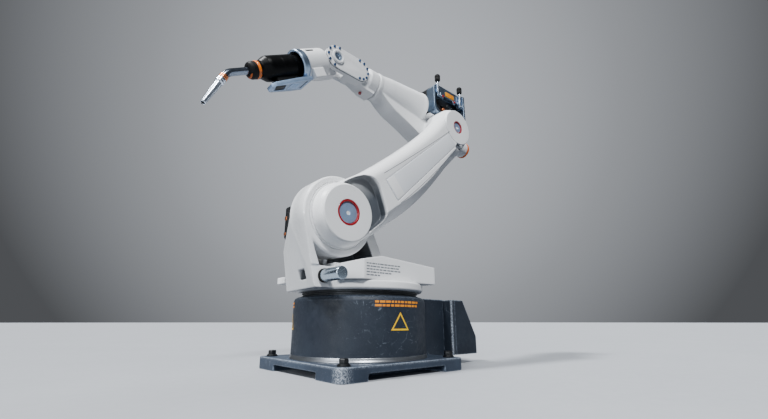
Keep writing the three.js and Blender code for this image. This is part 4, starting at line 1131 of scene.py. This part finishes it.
def build_tool():
    """The torch: clamp, shell, collar, nose, swan neck and gas nozzle."""
    ring = lathe([(44, 144.4), (55, 144.4), (56.5, 146.5), (56.5, 167), (54, 170), (49, 170), (44, 163)],
                 "X", 120, 1, True)
    crisp("clamp_band", [to_object(ring, TOOL)], BLUE_STEEL, "tool", ["tool_clamp"])
    floor = lathe([(46, 144.5), (46, 152)], "X", soft=0.5)
    solid("clamp_floor", [floor], TOOL, BLACK, "tool")
    body = lathe([(38, 153.4), (38, 181), (41.5, 186), (42, 190), (42, 238), (41.5, 239), (42, 240),
                  (42, 281), (40.5, 290), (33, 304), (30, 309), (29, 311), (29, 319.6)], "X", 140)
    solid("torch_shell", [body], TOOL, SATIN_BLACK, "tool", ["torch_body"], angle=50)
    ribs = [block(154, 182, y - 2, y + 2, 36, 40.6) for y in (-14, 0, 14)]
    solid("torch_ribs", ribs, TOOL, SATIN_BLACK, "tool", bevel=0.8)
    band = lathe([(28.8, 320), (29.5, 321.5), (29.5, 328.5), (28.8, 330)], "X", soft=0.8)
    solid("torch_collar", [band], TOOL, ORANGE, "tool", ["torch_ring"])
    cap = lathe([(28.5, 330.4), (28.5, 335), (27.9, 336), (28.5, 337), (28.5, 343), (25, 351),
                 (18, 354.6), (12.4, 354.6), (12.4, 348)], "X", soft=0.8)
    solid("torch_nose", [cap], TOOL, RUBBER, "tool", ["torch_cap"])
    lip = lathe([(14, 351.4), (24.4, 351.4), (22.4, 354.4), (14, 354.4)], "X", 72, 0.5, True)
    trim = less(lip, [block(300, 400, -60, 60, -17, 60)], TOOL)
    crisp("torch_nose_trim", [trim], BURNT, "tool")
    build_bracket()
    corner = Vector((NECK_CORNER, 0, 0))
    run = Vector((math.cos(BEND), 0, -math.sin(BEND)))
    start, end = corner - Vector((NECK_REACH, 0, 0)), corner + run * NECK_REACH
    path = [Vector((336, 0, 0)).lerp(start, k / 8) for k in range(8)]
    path += [bent(start, corner, end, k / 16) for k in range(17)]
    solid("swan_neck", [sweep(path, 12, 48)], TOOL, DARK_CHROME, "tool", ["torch_neck"],
          angle=40)
    ferrule = lathe([(13.2, 0.4), (13.6, 2), (13.6, 7), (13, 8), (13.6, 9), (13.6, 14), (12.6, 15)],
                    "X", 72, 0.5)
    solid("neck_ferrule", [ferrule], TIP, COPPER, "tool", ["copper_band"])
    nozzle = lathe([(13, 15.4), (13.7, 18), (13.7, 24), (13, 25), (13.7, 26), (13.7, 31), (11.8, 36),
                    (8.2, 119), (7.6, 122), (6.2, 122), (6, 120), (6, 102)], "X", soft=0.8)
    solid("nozzle", [nozzle], TIP, CHROME, "tool", ["gas_nozzle"], angle=45)
    tip = lathe([(3, 102.4), (3, 125), (2, 127)], "X", 32, 0.4)
    solid("tip", [tip], TIP, SOOT, "tool", ["contact_tip"])


def build_bracket():
    """The steel cradle under the torch, with its window and its pyramid-shaped dent."""
    plan = [(150, -42), (200, -42), (290, -28), (302, -16), (302, 16), (290, 28), (200, 42), (150, 42)]
    plate = prism(plan, "Z", -68.8, -56.8)
    hole = prism([(236, -20), (278, -20), (290, 20), (248, 20)], "Z", -90, -30)
    peak = hull([(187, -24, -69.5), (229, -24, -69.5), (229, 24, -69.5), (187, 24, -69.5), (204, 4, -55)])
    bore = cylinder(42.8, 100, 400, "X")
    cuts = [bore, hole, block(162, 169, -30, 30, -90, -40), peak]
    # Painted shadow: the saddle under the torch is black for the shadow that falls there.
    saddle_shadow = less(block(190, 272, -19.6, 19.6, -57.4, -34), [bore], TOOL)
    crisp("cradle_saddle_shadow", [saddle_shadow], RUBBER, "tool", bevel=0.8)
    crisp("torch_cradle", [less(plate, cuts, TOOL)], PALE_STEEL, "tool", ["torch_bracket"],
          1.2)
    # Painted shade: one face of the dent in dark blue steel, for the face in shade.
    facet = hull([(226.5, -22.4, -68.7), (226.5, 22.4, -68.7), (204, 4, -57), (230.5, -22, -66),
                  (230.5, 22, -66)])
    solid("cradle_shaded_facet", [facet], TOOL, DEEP_STEEL, "tool")
    # Painted shadow: black sheets in the cradle's window and slot.
    hole_shadows = [prism([(236.4, -19.6), (277.8, -19.6), (289.4, 19.6), (248.4, 19.6)], "Z", -67, -57.2),
              block(162.2, 168.8, -29.8, 29.8, -68, -57.2)]
    solid("cradle_shadow_gap", hole_shadows, TOOL, SATIN_BLACK, "tool", bevel=0.3)


# ---- Stage ----

# Places and directions of the stage are in metres; TILT_UP is in degrees.
CAMERA_AT = (0.8237, 1.0743, 0.148)
LOOK = (-0.656, -0.755)
TILT_UP = 16.3
FOCAL = 18.0
BACKDROP = (-0.575, -0.662, 0.48)


def build_stage():
    """The camera, the floor, the sky and four suns."""
    camera = bpy.data.cameras.new("camera")
    camera.lens = FOCAL
    camera.sensor_width = 36.0
    camera.clip_start = 0.01
    camera.clip_end = 200.0
    eye = add_object("camera", camera)
    eye.location = CAMERA_AT
    up = math.radians(TILT_UP)
    aim = Vector((LOOK[0] * math.cos(up), LOOK[1] * math.cos(up), math.sin(up)))
    eye.rotation_euler = aim.to_track_quat("-Z", "Y").to_euler()
    bpy.context.scene.camera = eye
    build_floor()
    build_world()
    sun("key", (0.50, -0.15, 0.85), 4.4, 7.0, (0.97, 0.985, 1.0))
    sun("top_front", (0.30, 0.62, 0.72), 3.8, 10.0, (0.96, 0.98, 1.0))
    sun("front_fill", (0.90, 0.25, 0.22), 1.7, 30.0, (0.92, 0.96, 1.0))
    sun("rim", (-0.9, -0.3, 0.8), 0.5, 30.0, (0.80, 0.88, 1.0))


def build_floor():
    span = 80.0
    corners = [(-span, -span, 0), (span, -span, 0), (span, span, 0), (-span, span, 0)]
    mesh = bpy.data.meshes.new("floor")
    mesh.from_pydata(corners, [], [[0, 1, 2, 3]])
    n = Nodes(bpy.data.materials.new("floor"))
    tone = n.mix(n.ramp(n.noise(2.0, 4.0), 0.3, 0.7), (0.385, 0.400, 0.425), (0.41, 0.425, 0.45))
    n.surface(tone, n.ramp(n.noise(30.0, 5.0), 0.3, 0.7, 0.55, 0.68))
    mesh.materials.append(n.owner)
    floor = add_object("floor", mesh)
    floor.visible_diffuse = False


def build_world():
    """A soft studio: a light patch on the backdrop, dimmer all round, with a dark ground."""
    n = Nodes(bpy.data.worlds.new("world"), "Background", "Generated")
    toward = n.add("ShaderNodeVectorMath", operation="DOT_PRODUCT")
    toward.inputs[1].default_value = BACKDROP
    n.link(n.place, toward.inputs[0])
    glow = n.add("ShaderNodeValToRGB")
    n.link(n.ramp(toward.outputs["Value"], -1.0, 1.0), glow.inputs["Fac"])
    stops = [(0.0, 0.16), (0.55, 0.12), (0.72, 0.085), (0.84, 0.085), (0.93, 0.33), (0.985, 0.54),
             (1.0, 0.58)]
    for i, (at, level) in enumerate(stops):
        elements = glow.color_ramp.elements
        stop = elements[i] if i < 2 else elements.new(at)
        stop.position = at
        stop.color = (level * 0.95, level * 0.995, level * 1.07, 1)
    height = n.add("ShaderNodeSeparateXYZ")
    n.link(n.place, height.inputs[0])
    above = n.ramp(height.outputs["Z"], -0.06, 0.0)
    sky = n.mix(above, (0.10, 0.12, 0.16), glow.outputs["Color"])
    n.link(sky, n.shader.inputs["Color"])
    bpy.context.scene.world = n.owner


def sun(name, direction, strength, spread, color):
    """A sun lamp that shines from a direction. A larger spread, in degrees, gives softer shadows."""
    light = bpy.data.lights.new(name, "SUN")
    light.energy = strength
    light.angle = math.radians(spread)
    light.color = color
    made = add_object(name, light)
    made.rotation_euler = Vector(direction).to_track_quat("Z", "Y").to_euler()


build_stage()
build_base()
build_turret()
build_lower_arm()
build_forearm()
build_feeder()
build_wrist()
build_tilt()
build_tool()
